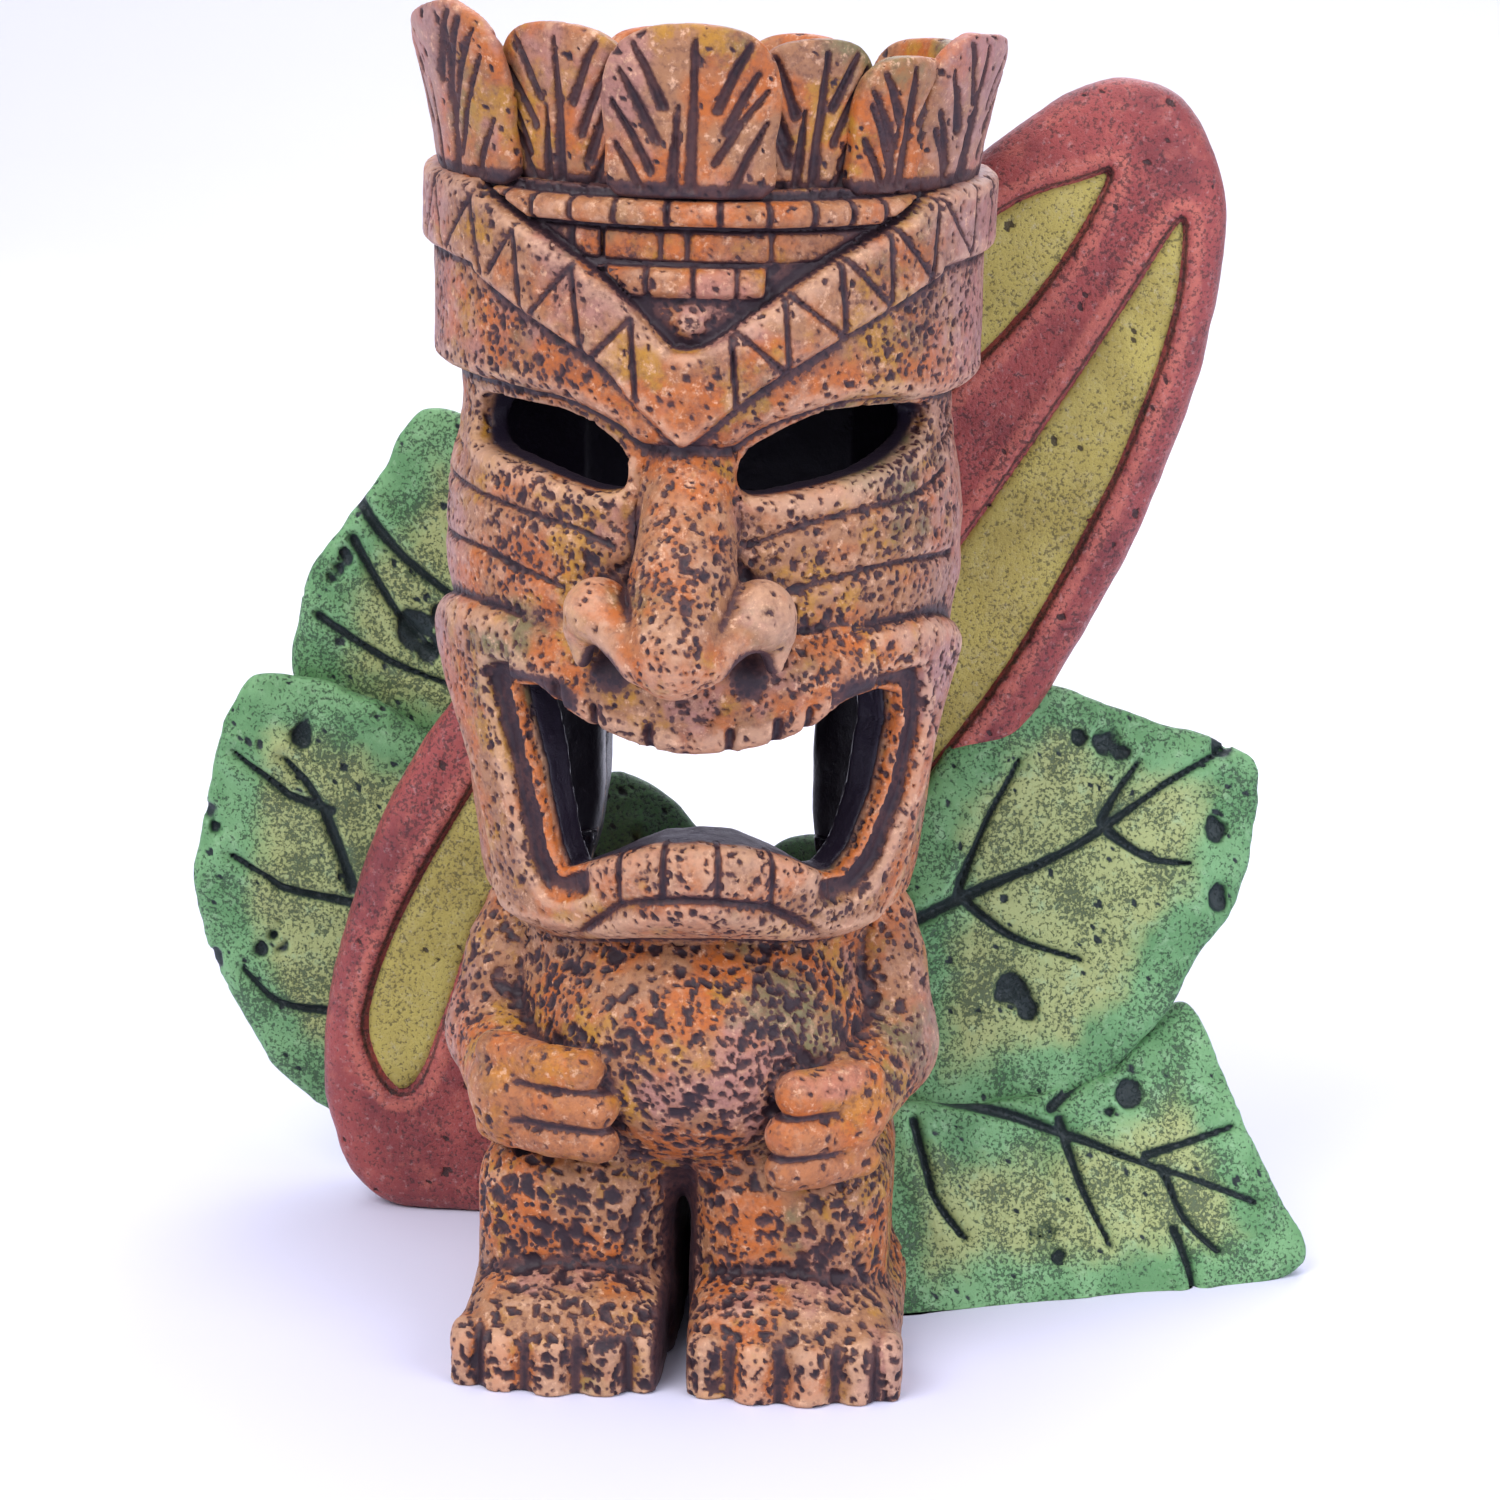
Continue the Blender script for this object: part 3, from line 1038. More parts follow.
def build_crown_leaf(index):
    """A leaf worked out flat (a across, z up, n outwards), then bent round the log."""
    angle, width, tall, out, lean = CROWN[index]
    a = np.arange(-width * 0.6, width * 0.6, CROWN_STEP)[:, None, None]
    z = np.arange(-1.6, tall + 1.6, CROWN_STEP)[None, :, None]
    n = np.arange(-5.2, 3.2, CROWN_STEP)[None, None, :]
    origin = (a[0, 0, 0], z[0, 0, 0], n[0, 0, 0])
    half = width / 2
    lop = CROWN_LOP.get(index, 0.5 * math.sin(index * 2.3))
    outline = spline([(-0.84 * half, -1), (-0.97 * half, 0.3 * tall), (-half, 0.58 * tall),
                      (-0.86 * half, (0.82 - 0.035 * lop) * tall),
                      (-0.5 * half, (0.965 - 0.025 * lop) * tall),
                      (lop, tall), (0.56 * half, (0.955 + 0.008 * lop) * tall),
                      (0.88 * half, (0.81 + 0.01 * lop) * tall),
                      (half, 0.58 * tall), (0.96 * half, 0.3 * tall), (0.82 * half, -1)], 4)
    a2, z2 = a[:, :, 0], z[:, :, 0]
    flat = outline_distance(a2, z2, outline)
    flat = np.maximum(flat, -z2 - 1.0)
    top = 0.9 * round_edge(-flat, 3.2) - 0.9 - 0.02 * np.abs(a2) ** 1.5
    # carved strokes: a stem, a line beside it, then slanting ones up both sides
    rng = np.random.default_rng(90 + index)
    stem = [(0.5 * lop, -1), (0.8 * lop + 0.4, 0.45 * tall), (1.2 * lop + 0.5, 0.9 * tall)]
    cuts = chisel(a2, z2, stem, 2.6, 0.9)
    cuts = np.maximum(cuts, chisel(a2, z2, [(-1.9, 0.0), (-1.3, 0.52 * tall)], 2.3, 0.5))
    for s in (-1, 1):
        count = 4 + (width > 24)
        for k in range(count):
            z0 = tall * (-0.04 + 0.74 * k / count) + rng.uniform(-0.6, 0.6)
            near = half * (0.62 - 0.40 * k / count) * rng.uniform(0.5, 0.95)
            far = half * rng.uniform(0.76, 0.88) * (1 - 0.32 * (k / count) ** 2)
            rise = (far - near) * rng.uniform(1.15, 1.75) + 1.5
            pts = [(s * near, z0), (s * (near + 0.5 * (far - near)), z0 + 0.56 * rise),
                   (s * far, z0 + rise)]
            cuts = np.maximum(cuts, chisel(a2, z2, pts, rng.uniform(1.7, 2.5), 0.9))
    cuts = cuts * smooth_step(-0.4, -1.5, flat)
    top = top - 0.85 * cuts
    f = np.maximum(n - top[:, :, None], -CROWN_THICK - n)
    f = np.maximum(f, flat[:, :, None])
    # the back's edge is rounded
    back = (flat + 0.9)[:, :, None]
    f = smax(f, (np.hypot(np.maximum(back, 0), np.maximum(-CROWN_THICK + 0.9 - n, 0)) - 0.9), 0.5)
    points, quads = surface_of(f, origin, CROWN_STEP)
    line = at(cuts, (points[:, 0] - origin[0]) / CROWN_STEP,
              (points[:, 1] - origin[1]) / CROWN_STEP)
    line = np.clip(1.2 * line, 0, 0.74) * (points[:, 2] > -2.4)
    share = np.clip(points[:, 1] / tall, 0, 1)
    r = CROWN_R + out + points[:, 2] + lean * share ** 1.5 + 0.8 * share
    theta = math.radians(angle) + points[:, 0] / CROWN_BEND_R
    xyz = np.stack([r * np.sin(theta), -r * np.cos(theta), CROWN_Z + points[:, 1]], 1)
    quads = facing_out(xyz, quads)
    moved, masks = weather(xyz, quads, 0.30, line, 0.08, 7)
    # thin shadow where the leaf meets the headband
    masks["wash"] = np.maximum(masks["wash"], 0.8 * smooth_step(1.6, 0.3, points[:, 1]))
    masks["inside"] = np.zeros(len(moved))
    masks["rim"] = np.zeros(len(moved))
    name = "crown_leaf_%02d" % (index + 1)
    add_piece(name, moved, quads, masks, LOG, [name])


# ---------------------------------------------------------------- body

BODY_STEP = 0.42
# For each hand, from the top: height, radius, and where the finger's tip ends across the belly
FINGERS = {-1: [(38.0, 2.6, -10.9), (33.5, 2.8, -9.3), (29.2, 2.5, -8.8)],
           1: [(36.2, 2.8, 14.6), (31.2, 2.9, 13.7), (26.8, 2.5, 13.2)]}
# How far out each arm's shoulder, middle and elbow are
ARM_OUT = {-1: (19.9, 20.9, 22.7), 1: (21.4, 21.7, 23.0)}
# Middle and half width of each toe
TOES = {-1: [(-23.9, 1.9), (-19.4, 2.7), (-13.6, 3.0), (-7.5, 3.0), (-2.7, 1.9)],
        1: [(4.9, 2.6), (10.6, 2.8), (16.7, 3.3), (22.4, 2.4), (26.0, 1.6)]}
LEG_GAP_X = 0.2


def box_2d(x, y, centre, half, corner):
    """Distance to an upright block with rounded corners, seen from above."""
    return rounded(np.abs(x - centre[0]) - half[0], np.abs(y - centre[1]) - half[1], corner)


def arm_field(x, y, z, s):
    """Upper arm, forearm, hand and fingers; s is -1 for the left arm and 1 for the right."""
    shoulder, middle, elbow = (s * out for out in ARM_OUT[s])
    d = capsule(x, y, z, (shoulder, -4.5, 50.5), (middle, -6.0, 45), 5.6, 6.8)
    d = smin(d, capsule(x, y, z, (middle, -6.0, 45), (elbow, -8.5, 36), 6.8, 7.0), 1.0)
    d = smin(d, capsule(x, y, z, (elbow, -8.5, 36), (s * 20.0, -21.5, 33.5), 7.0, 5.6), 1.5)
    d = smin(d, ball(x, y, z, (s * 19.2, -23.8, 32.8), (5.4, 5.4, 6.6)), 1.5)
    for z0, r, tip in FINGERS[s]:
        middle = 0.5 * (s * 20.5 + tip)
        for a, b in (((s * 21.8, -23.6), (middle, -28.2)), ((middle, -28.2), (tip, -30.0))):
            d = smin(d, capsule(x, y, z, (*a, z0), (*b, z0), r, r), 0.25)
    return d


def finger_cuts(points, s):
    """Dark paint between neighbouring fingers."""
    dark = np.zeros(len(points))
    for upper, lower in zip(FINGERS[s][:-1], FINGERS[s][1:]):
        line = 0.5 * (upper[0] - upper[1] + lower[0] + lower[1])
        near = smooth_step(20.5, 18.0, np.abs(points[:, 0]))
        dark = np.maximum(dark, near * groove(points[:, 2] - line, 1.5))
    return dark * (points[:, 1] < -24)


def leg_field(x, y, z, s):
    """A blocky leg with a foot that slopes down to its toes."""
    leg = smax(box_2d(x, y, (s * 12.8 + 0.3, -2.7), (11.9, 23.8), 8.5), z - 26.5, 7)
    foot = box_2d(x, y, (s * 13.5 + 1.0, -16), (12.5, 20.4), 6.0)
    front = -20.5 - np.sqrt(np.maximum(17.2 ** 2 - 0.62 * (x - s * 13.5) ** 2, 0)) + 1.4
    foot = np.maximum(foot, front - y)
    rise = np.interp(np.ravel(y), [-39, -36.5, -33, -28, -24], [6.0, 8.4, 10.6, 12.4, 13.0])
    rise = rise.reshape(np.shape(y)).astype(np.float32)
    foot = smax(foot, z - rise + 0.020 * (x - s * 12) ** 2, 4.0)
    for centre, half in TOES[s]:
        tip = -20.5 - math.sqrt(17.2 ** 2 - 0.62 * (centre - s * 13.5) ** 2)
        column = np.sqrt((x - centre) ** 2 + np.minimum(y - tip - half, 0) ** 2) - half
        column = smax(np.maximum(column, y - tip - 9), z - 7.8 + 0.25 * np.abs(y - tip - 3), 2.2)
        foot = smin(foot, column, 0.45)
    leg = smin(leg, foot, 0.8)
    # a deep cut between the two legs, open to the front only
    gap = np.interp(np.ravel(y), [-23.0, -20.5], [1.1, 0.0]).reshape(np.shape(y))
    return smax(np.maximum(leg, -z), gap.astype(np.float32) - s * (x - LEG_GAP_X), 1.0)


def toe_cuts(points):
    """Dark paint in the upright cuts between neighbouring toes."""
    dark = np.zeros(len(points))
    for toes in TOES.values():
        for (a, half), (b, other) in zip(toes[:-1], toes[1:]):
            line = 0.5 * (a + half + b - other)
            dark = np.maximum(dark, groove(points[:, 0] - line, 2.0))
    return dark * smooth_step(-32.5, -34.5, points[:, 1]) * smooth_step(8.2, 6.4, points[:, 2])


def build_body():
    """Torso, arms and legs from one blended solid, shared out to whichever part is nearest."""
    xs = np.arange(-34.5, 36, BODY_STEP, dtype=np.float32)
    ys = np.arange(-43, 23.5, BODY_STEP, dtype=np.float32)
    zs = np.arange(-1, 56, BODY_STEP, dtype=np.float32)
    x, y, z = xs[:, None, None], ys[None, :, None], zs[None, None, :]
    origin = (xs[0], ys[0], zs[0])
    r = np.sqrt(x * x + y * y)
    wide = np.interp(zs, [19, 24, 30, 42, 56], [19, 21.3, 23.2, 24, 23]).astype(np.float32)
    torso = smax(r - wide, 19.5 - z, 2)
    torso = smin(torso, ball(x, y, z, (1.4, -12.5, 38.5), (20.6, 19.7, 16.5)), 3)
    parts = {"torso": torso, "arm_left": arm_field(x, y, z, -1), "arm_right": arm_field(x, y, z, 1),
             "leg_left": leg_field(x, y, z, -1), "leg_right": leg_field(x, y, z, 1)}
    parts = {name: np.maximum(d, y - BOARD_Y) for name, d in parts.items()}
    whole = smin(parts["torso"], np.minimum(parts["leg_left"], parts["leg_right"]), 3.0)
    whole = smin(smin(whole, parts["arm_left"], 0.7), parts["arm_right"], 0.7)
    # the basin that is the floor of the head's hollow, and the foot of the window
    basin = np.maximum(r - 20.8, 44.5 - z)
    window = np.maximum(back_window(x, z), 2 - y)
    whole = smax(whole, -np.minimum(basin, window), 0.6)
    whole = np.maximum(np.maximum(whole, y - BOARD_Y), z - 55)
    shade = Shade(whole, origin, BODY_STEP)
    for name, own in parts.items():
        others = [np.broadcast_to(d, whole.shape) for other, d in parts.items() if other != name]
        apart = (own - np.minimum.reduce(others)) * 0.5
        f = np.maximum(whole + 0.45 * np.clip(apart, 0, 1), apart - 0.5)
        # only the part of the grid that this piece fills
        keep = [np.where((f < 0.5).any(axis=axes))[0] for axes in ((1, 2), (0, 2), (0, 1))]
        box = tuple(slice(max(k[0] - 2, 0), k[-1] + 3) for k in keep)
        start = [origin[k] + box[k].start * BODY_STEP for k in range(3)]
        points, quads = surface_of(f[box], start, BODY_STEP)
        is_arm = name.startswith("arm")
        pit = 0.85 if is_arm else 1.0
        hand = smooth_step(-22.5, -25, points[:, 1]) * is_arm
        dark = 0.8 * smooth_step(2.6, 1.2, np.abs(points[:, 0] - LEG_GAP_X)) * (points[:, 2] < 24)
        dark = np.maximum(dark, toe_cuts(points))
        if is_arm:
            dark = np.maximum(dark, finger_cuts(points, -1 if name == "arm_left" else 1))
        toes = smooth_step(14, 9, points[:, 2]) * smooth_step(-24, -28, points[:, 1])
        pit = pit * (1 - 0.4 * hand) * (1 - 0.35 * toes)
        moved, masks = weather(points, quads, pit, dark, shade=shade)
        masks["lift"] *= 1 - 0.75 * hand
        # the soles stay flat
        moved[:, 2] = np.maximum(np.where(points[:, 2] < 0.25, points[:, 2], moved[:, 2]), 0)
        radius = np.hypot(points[:, 0], points[:, 1])
        masks["inside"] = smooth_step(43.2, 44.5, points[:, 2]) * (radius < 22.2)
        masks["rim"] = 0.40 * hand
        add_piece(name, moved, quads, masks, LOG, [name])


# ---------------------------------------------------------------- surfboard

BOARD_STEP = 0.55
BOARD_THICK = 10.0
board_outline = spline([
    (50, 150), (57, 146.5), (61.2, 137), (61.5, 127), (59.5, 115), (56, 103), (49.5, 87),
    (40.5, 70), (28, 51), (10, 27), (-10, 8), (-24, 0.5), (-34, -0.8), (-42.5, 0.2), (-47.5, 4.5),
    (-50.5, 13), (-51, 24), (-48, 39), (-42, 56), (-32, 72), (-15, 94), (8, 118), (24, 134),
    (36, 144), (43, 148.5)], 5)
STRIPES = {
    "surfboard_stripe_left": spline([
        (47.6, 138.6), (44, 138.4), (33, 133.5), (16, 117), (-6, 92), (-25, 68), (-35, 52),
        (-42, 38), (-45.3, 27), (-44.3, 20.5), (-41, 16.2), (-37.6, 18.5), (-34, 28), (-28, 44),
        (-10, 70), (15, 98), (33, 116), (42, 127.5)], 5),
    "surfboard_stripe_right": spline([
        (56, 133.8), (56.8, 127), (55.3, 118), (52.5, 109), (48, 97.5), (37, 76), (22, 55), (4, 33),
        (-8, 21), (-4, 34), (12, 64), (28, 89), (39, 106), (48.5, 121.5)], 5)}


def board_grid(low, high):
    """Grid lines for part of the board between two (x, z) corners."""
    x = np.arange(low[0], high[0], BOARD_STEP)
    y = np.arange(BOARD_Y - 3.0, BOARD_Y + BOARD_THICK + 3.0, BOARD_STEP)
    z = np.arange(low[1], high[1], BOARD_STEP)
    return x, y, z


def board_window(x, z):
    """The same window as the log's, a touch larger in the board."""
    return back_window(x, z) - 0.2


def board_inside(points):
    """The part of the board that closes the log's hollow, and the window's own walls."""
    closes = smooth_step(21.9, 21.0, np.abs(points[:, 0])) * smooth_step(129, 127, points[:, 2])
    near = board_window(points[:, 0], points[:, 2])
    return np.maximum(closes * (points[:, 1] < BOARD_Y + 4), smooth_step(1.3, 0.6, near)
                      * (points[:, 1] < BOARD_Y + BOARD_THICK - 1))


def build_board():
    """The board, rounded at its edge, with a sunken bed for each stripe."""
    x, y, z = board_grid((-54, -3), (65, 154))
    flat = outline_distance(x[:, None], z[None, :], board_outline)
    window = board_window(x[:, None], z[None, :])
    stripe = np.minimum.reduce([outline_distance(x[:, None], z[None, :], s)
                                for s in STRIPES.values()])
    front = BOARD_Y + 1.9 * (1 - round_edge(-flat, 9.0)) + 1.5 * smooth_step(0.3, -0.5, stripe) \
        - 0.35 * swell(stripe - 1.3, 1.2)
    y3 = y[None, :, None]
    depth = np.abs(y3 - (BOARD_Y + BOARD_THICK / 2)) - BOARD_THICK / 2
    f = rounded(flat[:, None, :], depth, 4.2)
    f = smax(f, front[:, None, :] - y3, 0.8)
    f = smax(f, -window[:, None, :], 1.5)
    f = np.maximum(f, -z[None, None, :])
    points, quads = surface_of(f, (x[0], y[0], z[0]), BOARD_STEP)
    stripe = at(stripe, (points[:, 0] - x[0]) / BOARD_STEP, (points[:, 2] - z[0]) / BOARD_STEP)
    facing = points[:, 1] < BOARD_Y + 3
    line = 0.55 * groove(stripe, 1.1) * facing
    moved, masks = weather(points, quads, 0.05, line, 0.13)
    glow = swell(stripe - 1.5, 1.1) * facing
    masks["lift"] = masks["lift"] + 0.75 * glow
    masks["inside"] = board_inside(points)
    moved[:, 2] = np.maximum(moved[:, 2], 0)
    add_piece("surfboard", moved, quads, masks, BOARD, ["surfboard"])


def build_stripe(name):
    """A painted stripe that lies in its bed in the board's front."""
    outline = STRIPES[name]
    x, y, z = board_grid(outline.min(0) - 2, outline.max(0) + 2)
    y = y[y < BOARD_Y + 4.5]
    flat = outline_distance(x[:, None], z[None, :], outline)
    window = board_window(x[:, None], z[None, :])
    top = BOARD_Y + 1.75 - 0.75 * round_edge(-flat - 0.4, 1.6)
    y3 = y[None, :, None]
    underside = BOARD_Y + 3.0
    f = np.maximum(top[:, None, :] - y3, y3 - underside)
    f = np.maximum(f, (flat + 0.15)[:, None, :])
    f = smax(f, -window[:, None, :], 1.0)
    points, quads = surface_of(f, (x[0], y[0], z[0]), BOARD_STEP, 0.05)
    moved, masks = weather(points, quads, 0.06, None, 0.10, 6)
    moved[:, 1] = np.minimum(moved[:, 1], underside)
    masks["inside"] = board_inside(points)
    add_piece(name, moved, quads, masks, STRIPE, [name])


# ---------------------------------------------------------------- broad leaves


class Plane:
    """A leaf's own plane, turned by yaw and tipped back by lean, both in degrees.

    u runs along it, v up it and w into it from its front face.
    """

    def __init__(self, foot, yaw, lean):
        cy, sy = math.cos(math.radians(yaw)), math.sin(math.radians(yaw))
        cl, sl = math.cos(math.radians(lean)), math.sin(math.radians(lean))
        self.foot = np.asarray(foot, float)
        self.u = np.array([cy, sy, 0])
        self.v = np.array([-sy * sl, cy * sl, cl])
        self.w = np.array([-sy * cl, cy * cl, -sl])

    def out(self, p):
        """Points of the plane as points of the ornament."""
        return self.foot + p[:, :1] * self.u + p[:, 1:2] * self.v + p[:, 2:] * self.w


LEAF_STEP = 0.45
LEAF_THICK = 5.0
# foot, yaw, lean, outline, veins, bite marks (u, v, size)
LEAVES = {
    "leaf_right_lower": (
        (27, -6, 0), 19, 25,
        [(-2, -2), (12, -1.5), (39, -1.5), (51, 0.5), (55, 4.5), (52, 12), (48, 22), (45, 32),
         (41.5, 37.5), (35, 33), (29, 28.5), (15, 26), (-2, 25)],
        [[(8, 26.8), (15, 24.5), (24, 21), (35, 16), (48, 10.5)], [(23, 23), (25.2, 14), (28, 6.5)],
         [(36, 15.6), (38, 9.5), (42.5, 4.8)], [(34, 17.5), (40, 18.8), (46, 20.4)],
         [(22, 24.5), (27, 28), (31, 29.5)], [(4, 24), (5.4, 15), (9, 9)],
         [(36.5, 8), (38.2, 3), (39, -1)]],
        [(19, 8.5, 2.1), (32.5, 25.5, 2.6), (20.5, 6.5, 1.2), (30, 23.5, 1.2)]),
    "leaf_right_upper": (
        (28, 8, 20), 12, 15,
        [(-2, 1), (10, 0.5), (23, 4.5), (32, 12.5), (37, 20.5), (42, 27), (44, 34), (45.3, 44),
         (42.5, 47.2), (36, 49.5), (30, 51.3), (25, 53.4), (16, 56), (6, 50), (-2, 34)],
        [[(-1, 25.5), (9, 30), (17, 33), (24, 37), (33, 43), (42, 48)],
         [(5, 28), (8, 36), (13.5, 46)], [(6, 28.5), (12, 23.5), (21, 20.5)],
         [(24, 38), (26, 41.5), (29, 45.5)], [(25, 36.5), (30, 33), (35.5, 32.4)]],
        [(12, 16.5, 3.0), (14, 14.2, 1.9), (25, 48.5, 2.6), (27, 46.4, 1.4), (21.5, 49, 1.2),
         (40.2, 47.5, 1.8), (39.3, 37, 1.9), (39.4, 28.2, 1.4)]),
    "leaf_left_lower": (
        (-45, 32, 13), 0, 0,
        [(-6, 55.4), (-11, 56.3), (-15.5, 56.6), (-18.6, 55), (-21, 49), (-23, 41), (-24.8, 30),
         (-24.2, 24), (-21.8, 15.5), (-15, 3.5), (-8, -3), (-2, -5), (8, -4), (16, 10), (14, 40),
         (4, 51)],
        [[(-3.5, 28), (-6, 36), (-9, 41.5), (-12.5, 45.5)],
         [(-6, 38.5), (-11.5, 40.3), (-13, 41.4), (-19, 46)],
         [(-3, 26), (-12, 27.6), (-15, 29.3), (-19.5, 32)], [(-7, 11), (-13.5, 12), (-18, 16.4)]],
        [(-10.2, 48.2, 2.2), (-14, 21.2, 2.3), (-15.4, 19.4, 1.4), (-22.6, 37.6, 1.9),
         (-21.8, 35.8, 1.6), (-22, 17.5, 1.5)]),
    "leaf_left_upper": (
        (-40, 37, 40), 0, 0,
        [(1.5, 64.4), (-1.5, 63.2), (-6.5, 54.5), (-12, 47), (-15, 42), (-16.8, 36), (-17.4, 28),
         (-10, 20), (8, 18), (22, 30), (26, 46), (14, 60), (6, 63.5)],
        [[(-10.5, 55), (-4, 46.4), (3, 40.5), (8, 38)], [(-13.5, 36.6), (-4.5, 31), (4, 27.8)],
         [(-9, 47), (-3, 37), (2, 32)]],
        [(-1, 35.2, 2.7), (0.8, 33, 1.8), (-11.5, 42.6, 1.5), (-10, 44.8, 1.0), (2.4, 37, 1.2)]),
    "leaf_back_left": (
        (-16, 32, 0), 0, 14,
        [(-12, 0.5), (0, 0.5), (14, 0.5), (20, 14), (21.5, 30), (17.5, 42), (9, 53), (0, 56.6),
         (-4, 48), (-6, 30), (-10, 14)],
        [[(4, 4), (6, 22), (4, 48)], [(5, 16), (11, 26), (15, 32)], [(5.4, 24), (0, 32), (-3, 36)]],
        [(12, 38, 2.0), (1, 16, 1.6)]),
    "leaf_back_right": (
        (18, 32, 0), 0, 14,
        [(-12, 0.5), (2, 0.5), (16, 0.5), (20, 14), (16, 32), (6, 44), (-2, 48.5), (-8, 49.2),
         (-13, 46.5), (-16.5, 36), (-16, 20), (-14, 10)],
        [[(2, 4), (2, 20), (-1, 41)], [(2, 14), (9, 24), (12, 30)],
         [(1.4, 22), (-5, 29), (-9, 33)]],
        [(8, 10, 2.0), (-6, 14, 1.6)])}


def build_broad_leaf(name):
    """A ragged slab in its own plane, with chiselled veins and bite marks in its front."""
    foot, yaw, lean, corners, veins, bites = LEAVES[name]
    plane = Plane(foot, yaw, lean)
    outline = spline(corners, 5)
    low, high = outline.min(0) - 2.2, outline.max(0) + 2.2
    u = np.arange(low[0], high[0], LEAF_STEP)
    v = np.arange(low[1], high[1], LEAF_STEP)
    w = np.arange(-2.6, 8.0, LEAF_STEP)
    flat = outline_distance(u[:, None], v[None, :], outline)
    uv = np.stack(np.meshgrid(u, v, [3.0], indexing="ij"), -1).reshape(-1, 3)
    # a fixed seed per leaf, for its torn edge, its slow waves and the bites' rough rims
    seed = sum(map(ord, name)) % 97
    ragged = fractal_noise(uv, 6.0, 3, seed).reshape(flat.shape)
    flat = flat + 0.7 * ragged + 0.2
    waves = fractal_noise(uv, 15.0, 2, seed + 5).reshape(flat.shape)
    fine_rag = fractal_noise(uv, 2.4, 3, seed + 9).reshape(flat.shape)
    deep = np.zeros_like(flat)
    lines = np.full_like(flat, 1e9)
    for k, vein in enumerate(veins):
        curve = spline(vein, 4, closed=False)
        su, sv = u[:, None] + 0.35 * ragged, v[None, :] + 0.35 * waves
        deep = np.maximum(deep, chisel(su, sv, curve, 2.8 if k == 0 else 2.1, 0.9))
        lines = np.minimum(lines, line_distance(su, sv, curve))
    front = 0.9 * waves + 1.15 * deep - 0.5 * swell(lines - 1.8, 1.1) + 0.4 \
        + 1.3 * (1 - round_edge(-flat, 5.0))
    bite = np.zeros_like(flat)
    for bu, bv, size in bites:
        d = np.hypot((u[:, None] - bu), (v[None, :] - bv) * 0.85)
        bite = np.maximum(bite, smooth_step(size * 0.95, size * 0.40, d + 2.2 * fine_rag
                                            + 0.4 * np.sin(d * 3 + bu)))
    front = front + 1.6 * bite * (0.75 + 0.6 * fine_rag)
    w3 = w[None, None, :]
    f = rounded(flat[:, :, None], np.abs(w3 - LEAF_THICK / 2) - LEAF_THICK / 2, 2.2)
    f = smax(f, front[:, :, None] - w3, 0.5)
    points, quads = surface_of(f, (u[0], v[0], w[0]), LEAF_STEP)
    iu, iv = (points[:, 0] - u[0]) / LEAF_STEP, (points[:, 1] - v[0]) / LEAF_STEP
    facing = smooth_step(3.6, 2.6, points[:, 2])
    line = np.maximum(np.clip(1.25 * at(deep, iu, iv), 0, 1), 0.85 * at(bite, iu, iv)) * facing
    xyz = plane.out(points)
    quads = facing_out(xyz, quads)
    moved, masks = weather(xyz, quads, 0.10, line)
    moved[:, 2] = np.maximum(moved[:, 2], 0)
    if name.startswith("leaf_back"):
        masks["wash"] = np.maximum(masks["wash"], 0.42 * facing)
    masks["middle"] = smooth_step(2.0, 12.0, -at(flat, iu, iv)) * facing
    add_piece(name, moved, quads, masks, LEAF, [name])


build_head()
for crown_index in range(len(CROWN)):
    build_crown_leaf(crown_index)
build_body()
build_board()
for stripe_name in STRIPES:
    build_stripe(stripe_name)
for leaf_name in LEAVES:
    build_broad_leaf(leaf_name)

# ---------------------------------------------------------------- floor, light and camera


def make_floor():
    """A pale floor that sweeps up into a wall behind the ornament, in metres."""
    n = Paint("floor_white")
    colour = n.over((0.70, 0.71, 0.85), (0.72, 0.73, 0.86), n.patches(300, 2, 0.55, 0.0, 0.3, 0.7))
    colour = n.over(colour, (0.84, 0.85, 0.90), n.ramp(n.place_along(1), 0.08, 0.30))
    grain = n.noise(2, 2, 0.55)
    material = n.finish(colour, n.scaled(grain, 0.1, 0.6), grain, 0.01)
    mesh = bpy.data.meshes.new("floor")
    half, bend, radius, rise = 2.5, 0.96, 0.5, 1.6
    rows = [(-half, 0.0), (bend, 0.0)]
    rows += [(bend + radius * math.sin(t), radius - radius * math.cos(t))
             for t in np.linspace(0.1, math.pi / 2, 10)]
    rows += [(bend + radius, radius + rise)]
    points = [(x, y, z) for y, z in rows for x in (-half, half)]
    faces = [(2 * i, 2 * i + 1, 2 * i + 3, 2 * i + 2) for i in range(len(rows) - 1)]
    mesh.from_pydata(points, [], faces)
    mesh.polygons.foreach_set("use_smooth", [True] * len(faces))
    mesh.materials.append(material)
    floor = bpy.data.objects.new("floor", mesh)
    bpy.context.scene.collection.objects.link(floor)


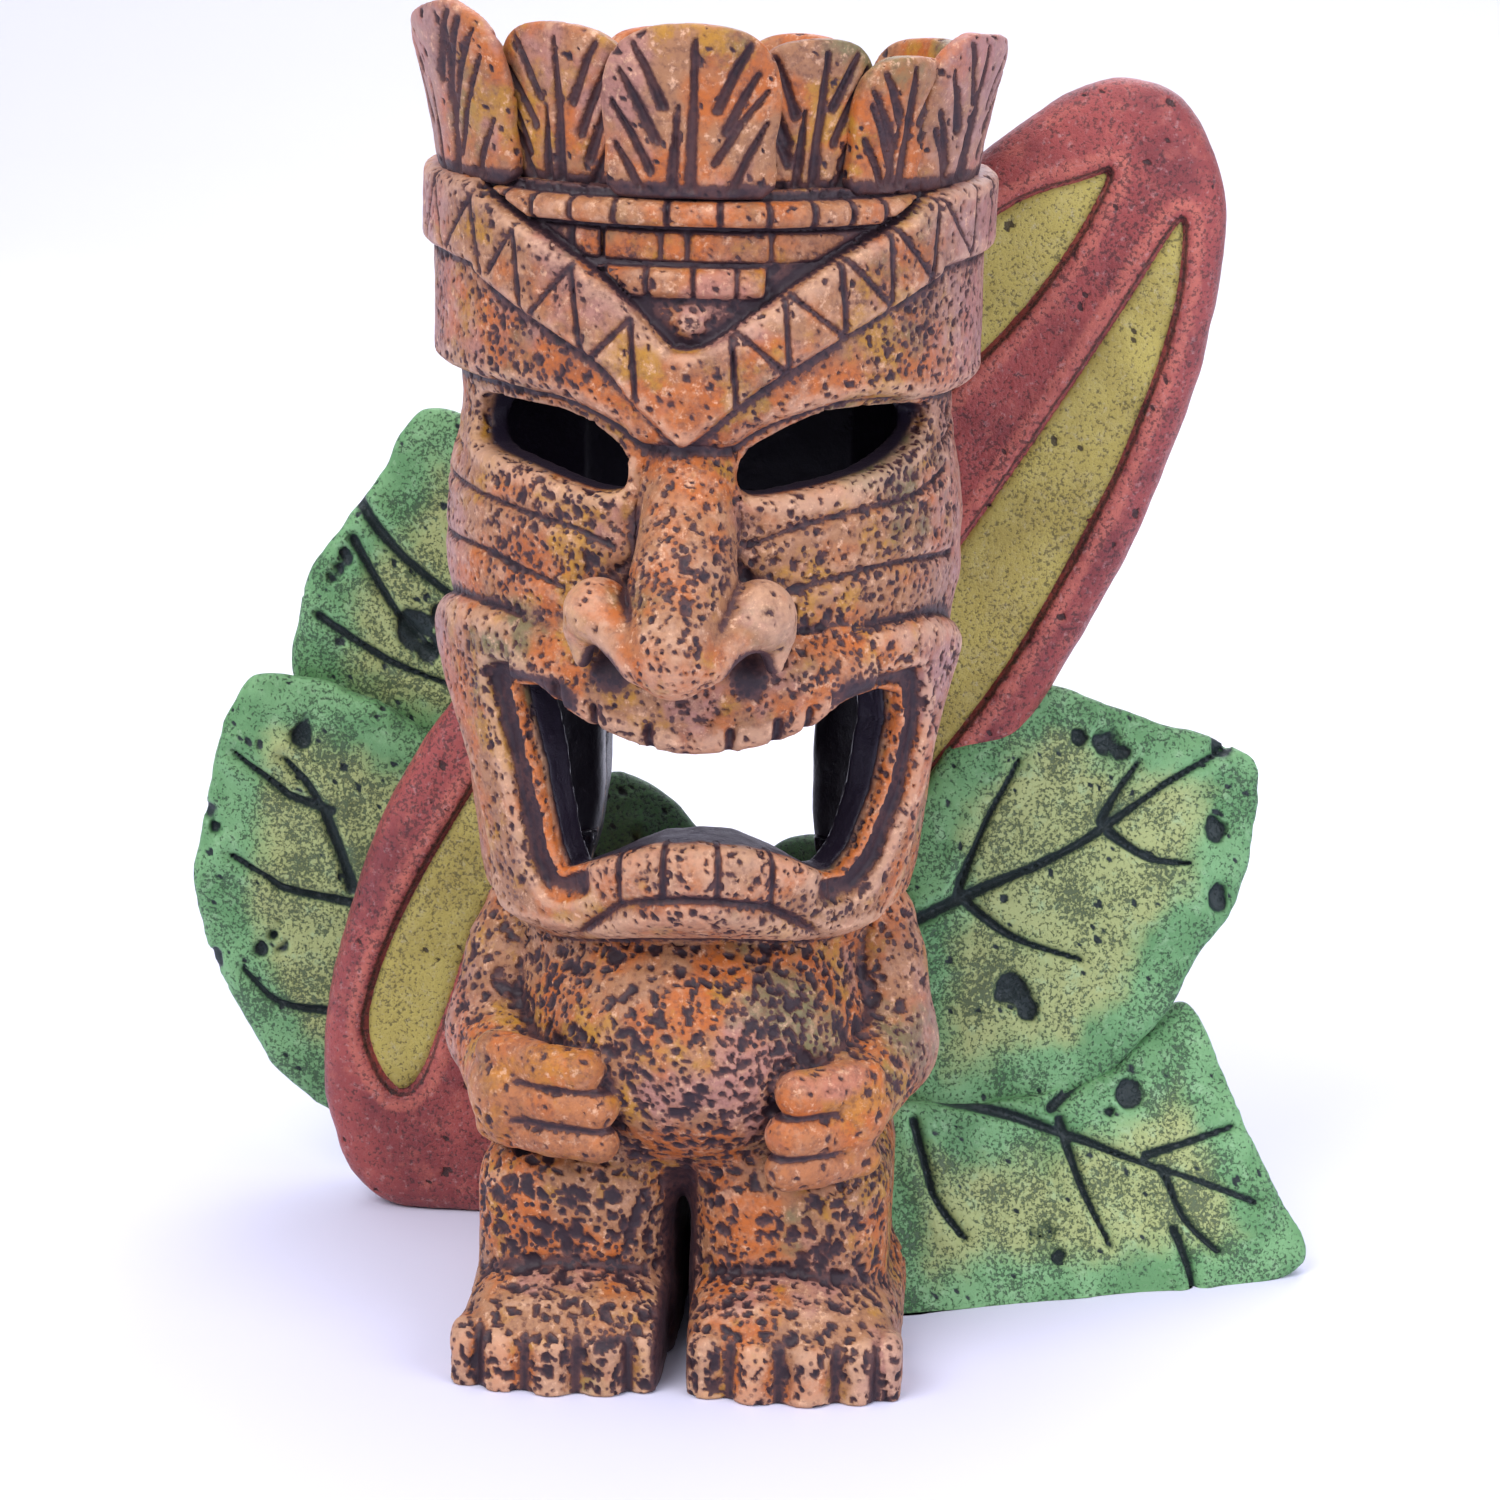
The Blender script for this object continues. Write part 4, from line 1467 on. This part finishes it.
def area_light(name, place, target, size, power, colour):
    """A round soft lamp aimed at a point, not seen by the camera itself."""
    data = bpy.data.lights.new(name, "AREA")
    data.shape = "DISK"
    data.size = size
    data.energy = power
    data.color = colour
    lamp = bpy.data.objects.new(name, data)
    lamp.location = place
    lamp.visible_camera = False
    lamp.rotation_euler = (Vector(target) - Vector(place)).to_track_quat("-Z", "Y").to_euler()
    bpy.context.scene.collection.objects.link(lamp)


def make_camera():
    """The photo's viewpoint: 4 degrees to one side, 14 up, slightly rolled, 520 mm away."""
    azimuth, elevation, roll = math.radians(4), math.radians(14), math.radians(1.15)
    away = Vector((math.sin(azimuth) * math.cos(elevation),
                   -math.cos(azimuth) * math.cos(elevation), math.sin(elevation)))
    level = (-away).cross(Vector((0, 0, 1))).normalized()
    upright = level.cross(-away)
    right = level * math.cos(roll) + upright * math.sin(roll)
    up = upright * math.cos(roll) - level * math.sin(roll)
    data = bpy.data.cameras.new("camera")
    data.sensor_width = 36.0
    data.lens = 102.36
    data.clip_start = 0.01
    camera = bpy.data.objects.new("camera", data)
    target = (Vector((6.0, 0.0, 70.0)) - Vector(PLAN_CENTRE)) / 1000
    turn = Matrix((right, up, away)).transposed().to_4x4()
    camera.matrix_world = Matrix.Translation(target + away * 0.520) @ turn
    bpy.context.scene.collection.objects.link(camera)
    bpy.context.scene.camera = camera


make_floor()
area_light("key", (-0.55, -0.75, 0.95), (0, 0, 0.07), 0.9, 12.5, (1.0, 0.975, 1.04))
area_light("fill", (0.85, -0.65, 0.55), (0, 0, 0.07), 0.9, 7.2, (0.95, 0.95, 1.10))
area_light("top", (0.0, 0.15, 1.3), (0, 0, 0.05), 1.3, 9, (1.0, 0.99, 1.08))
area_light("back", (0.2, 0.9, 0.7), (0, 0.1, 0.08), 0.8, 4, (0.93, 0.92, 1.0))
world = bpy.data.worlds.new("studio")
world.use_nodes = True
world.node_tree.nodes["Background"].inputs["Color"].default_value = (0.92, 0.92, 1.08, 1)
world.node_tree.nodes["Background"].inputs["Strength"].default_value = 0.45
bpy.context.scene.world = world
make_camera()
bpy.context.scene.view_settings.view_transform = "Standard"
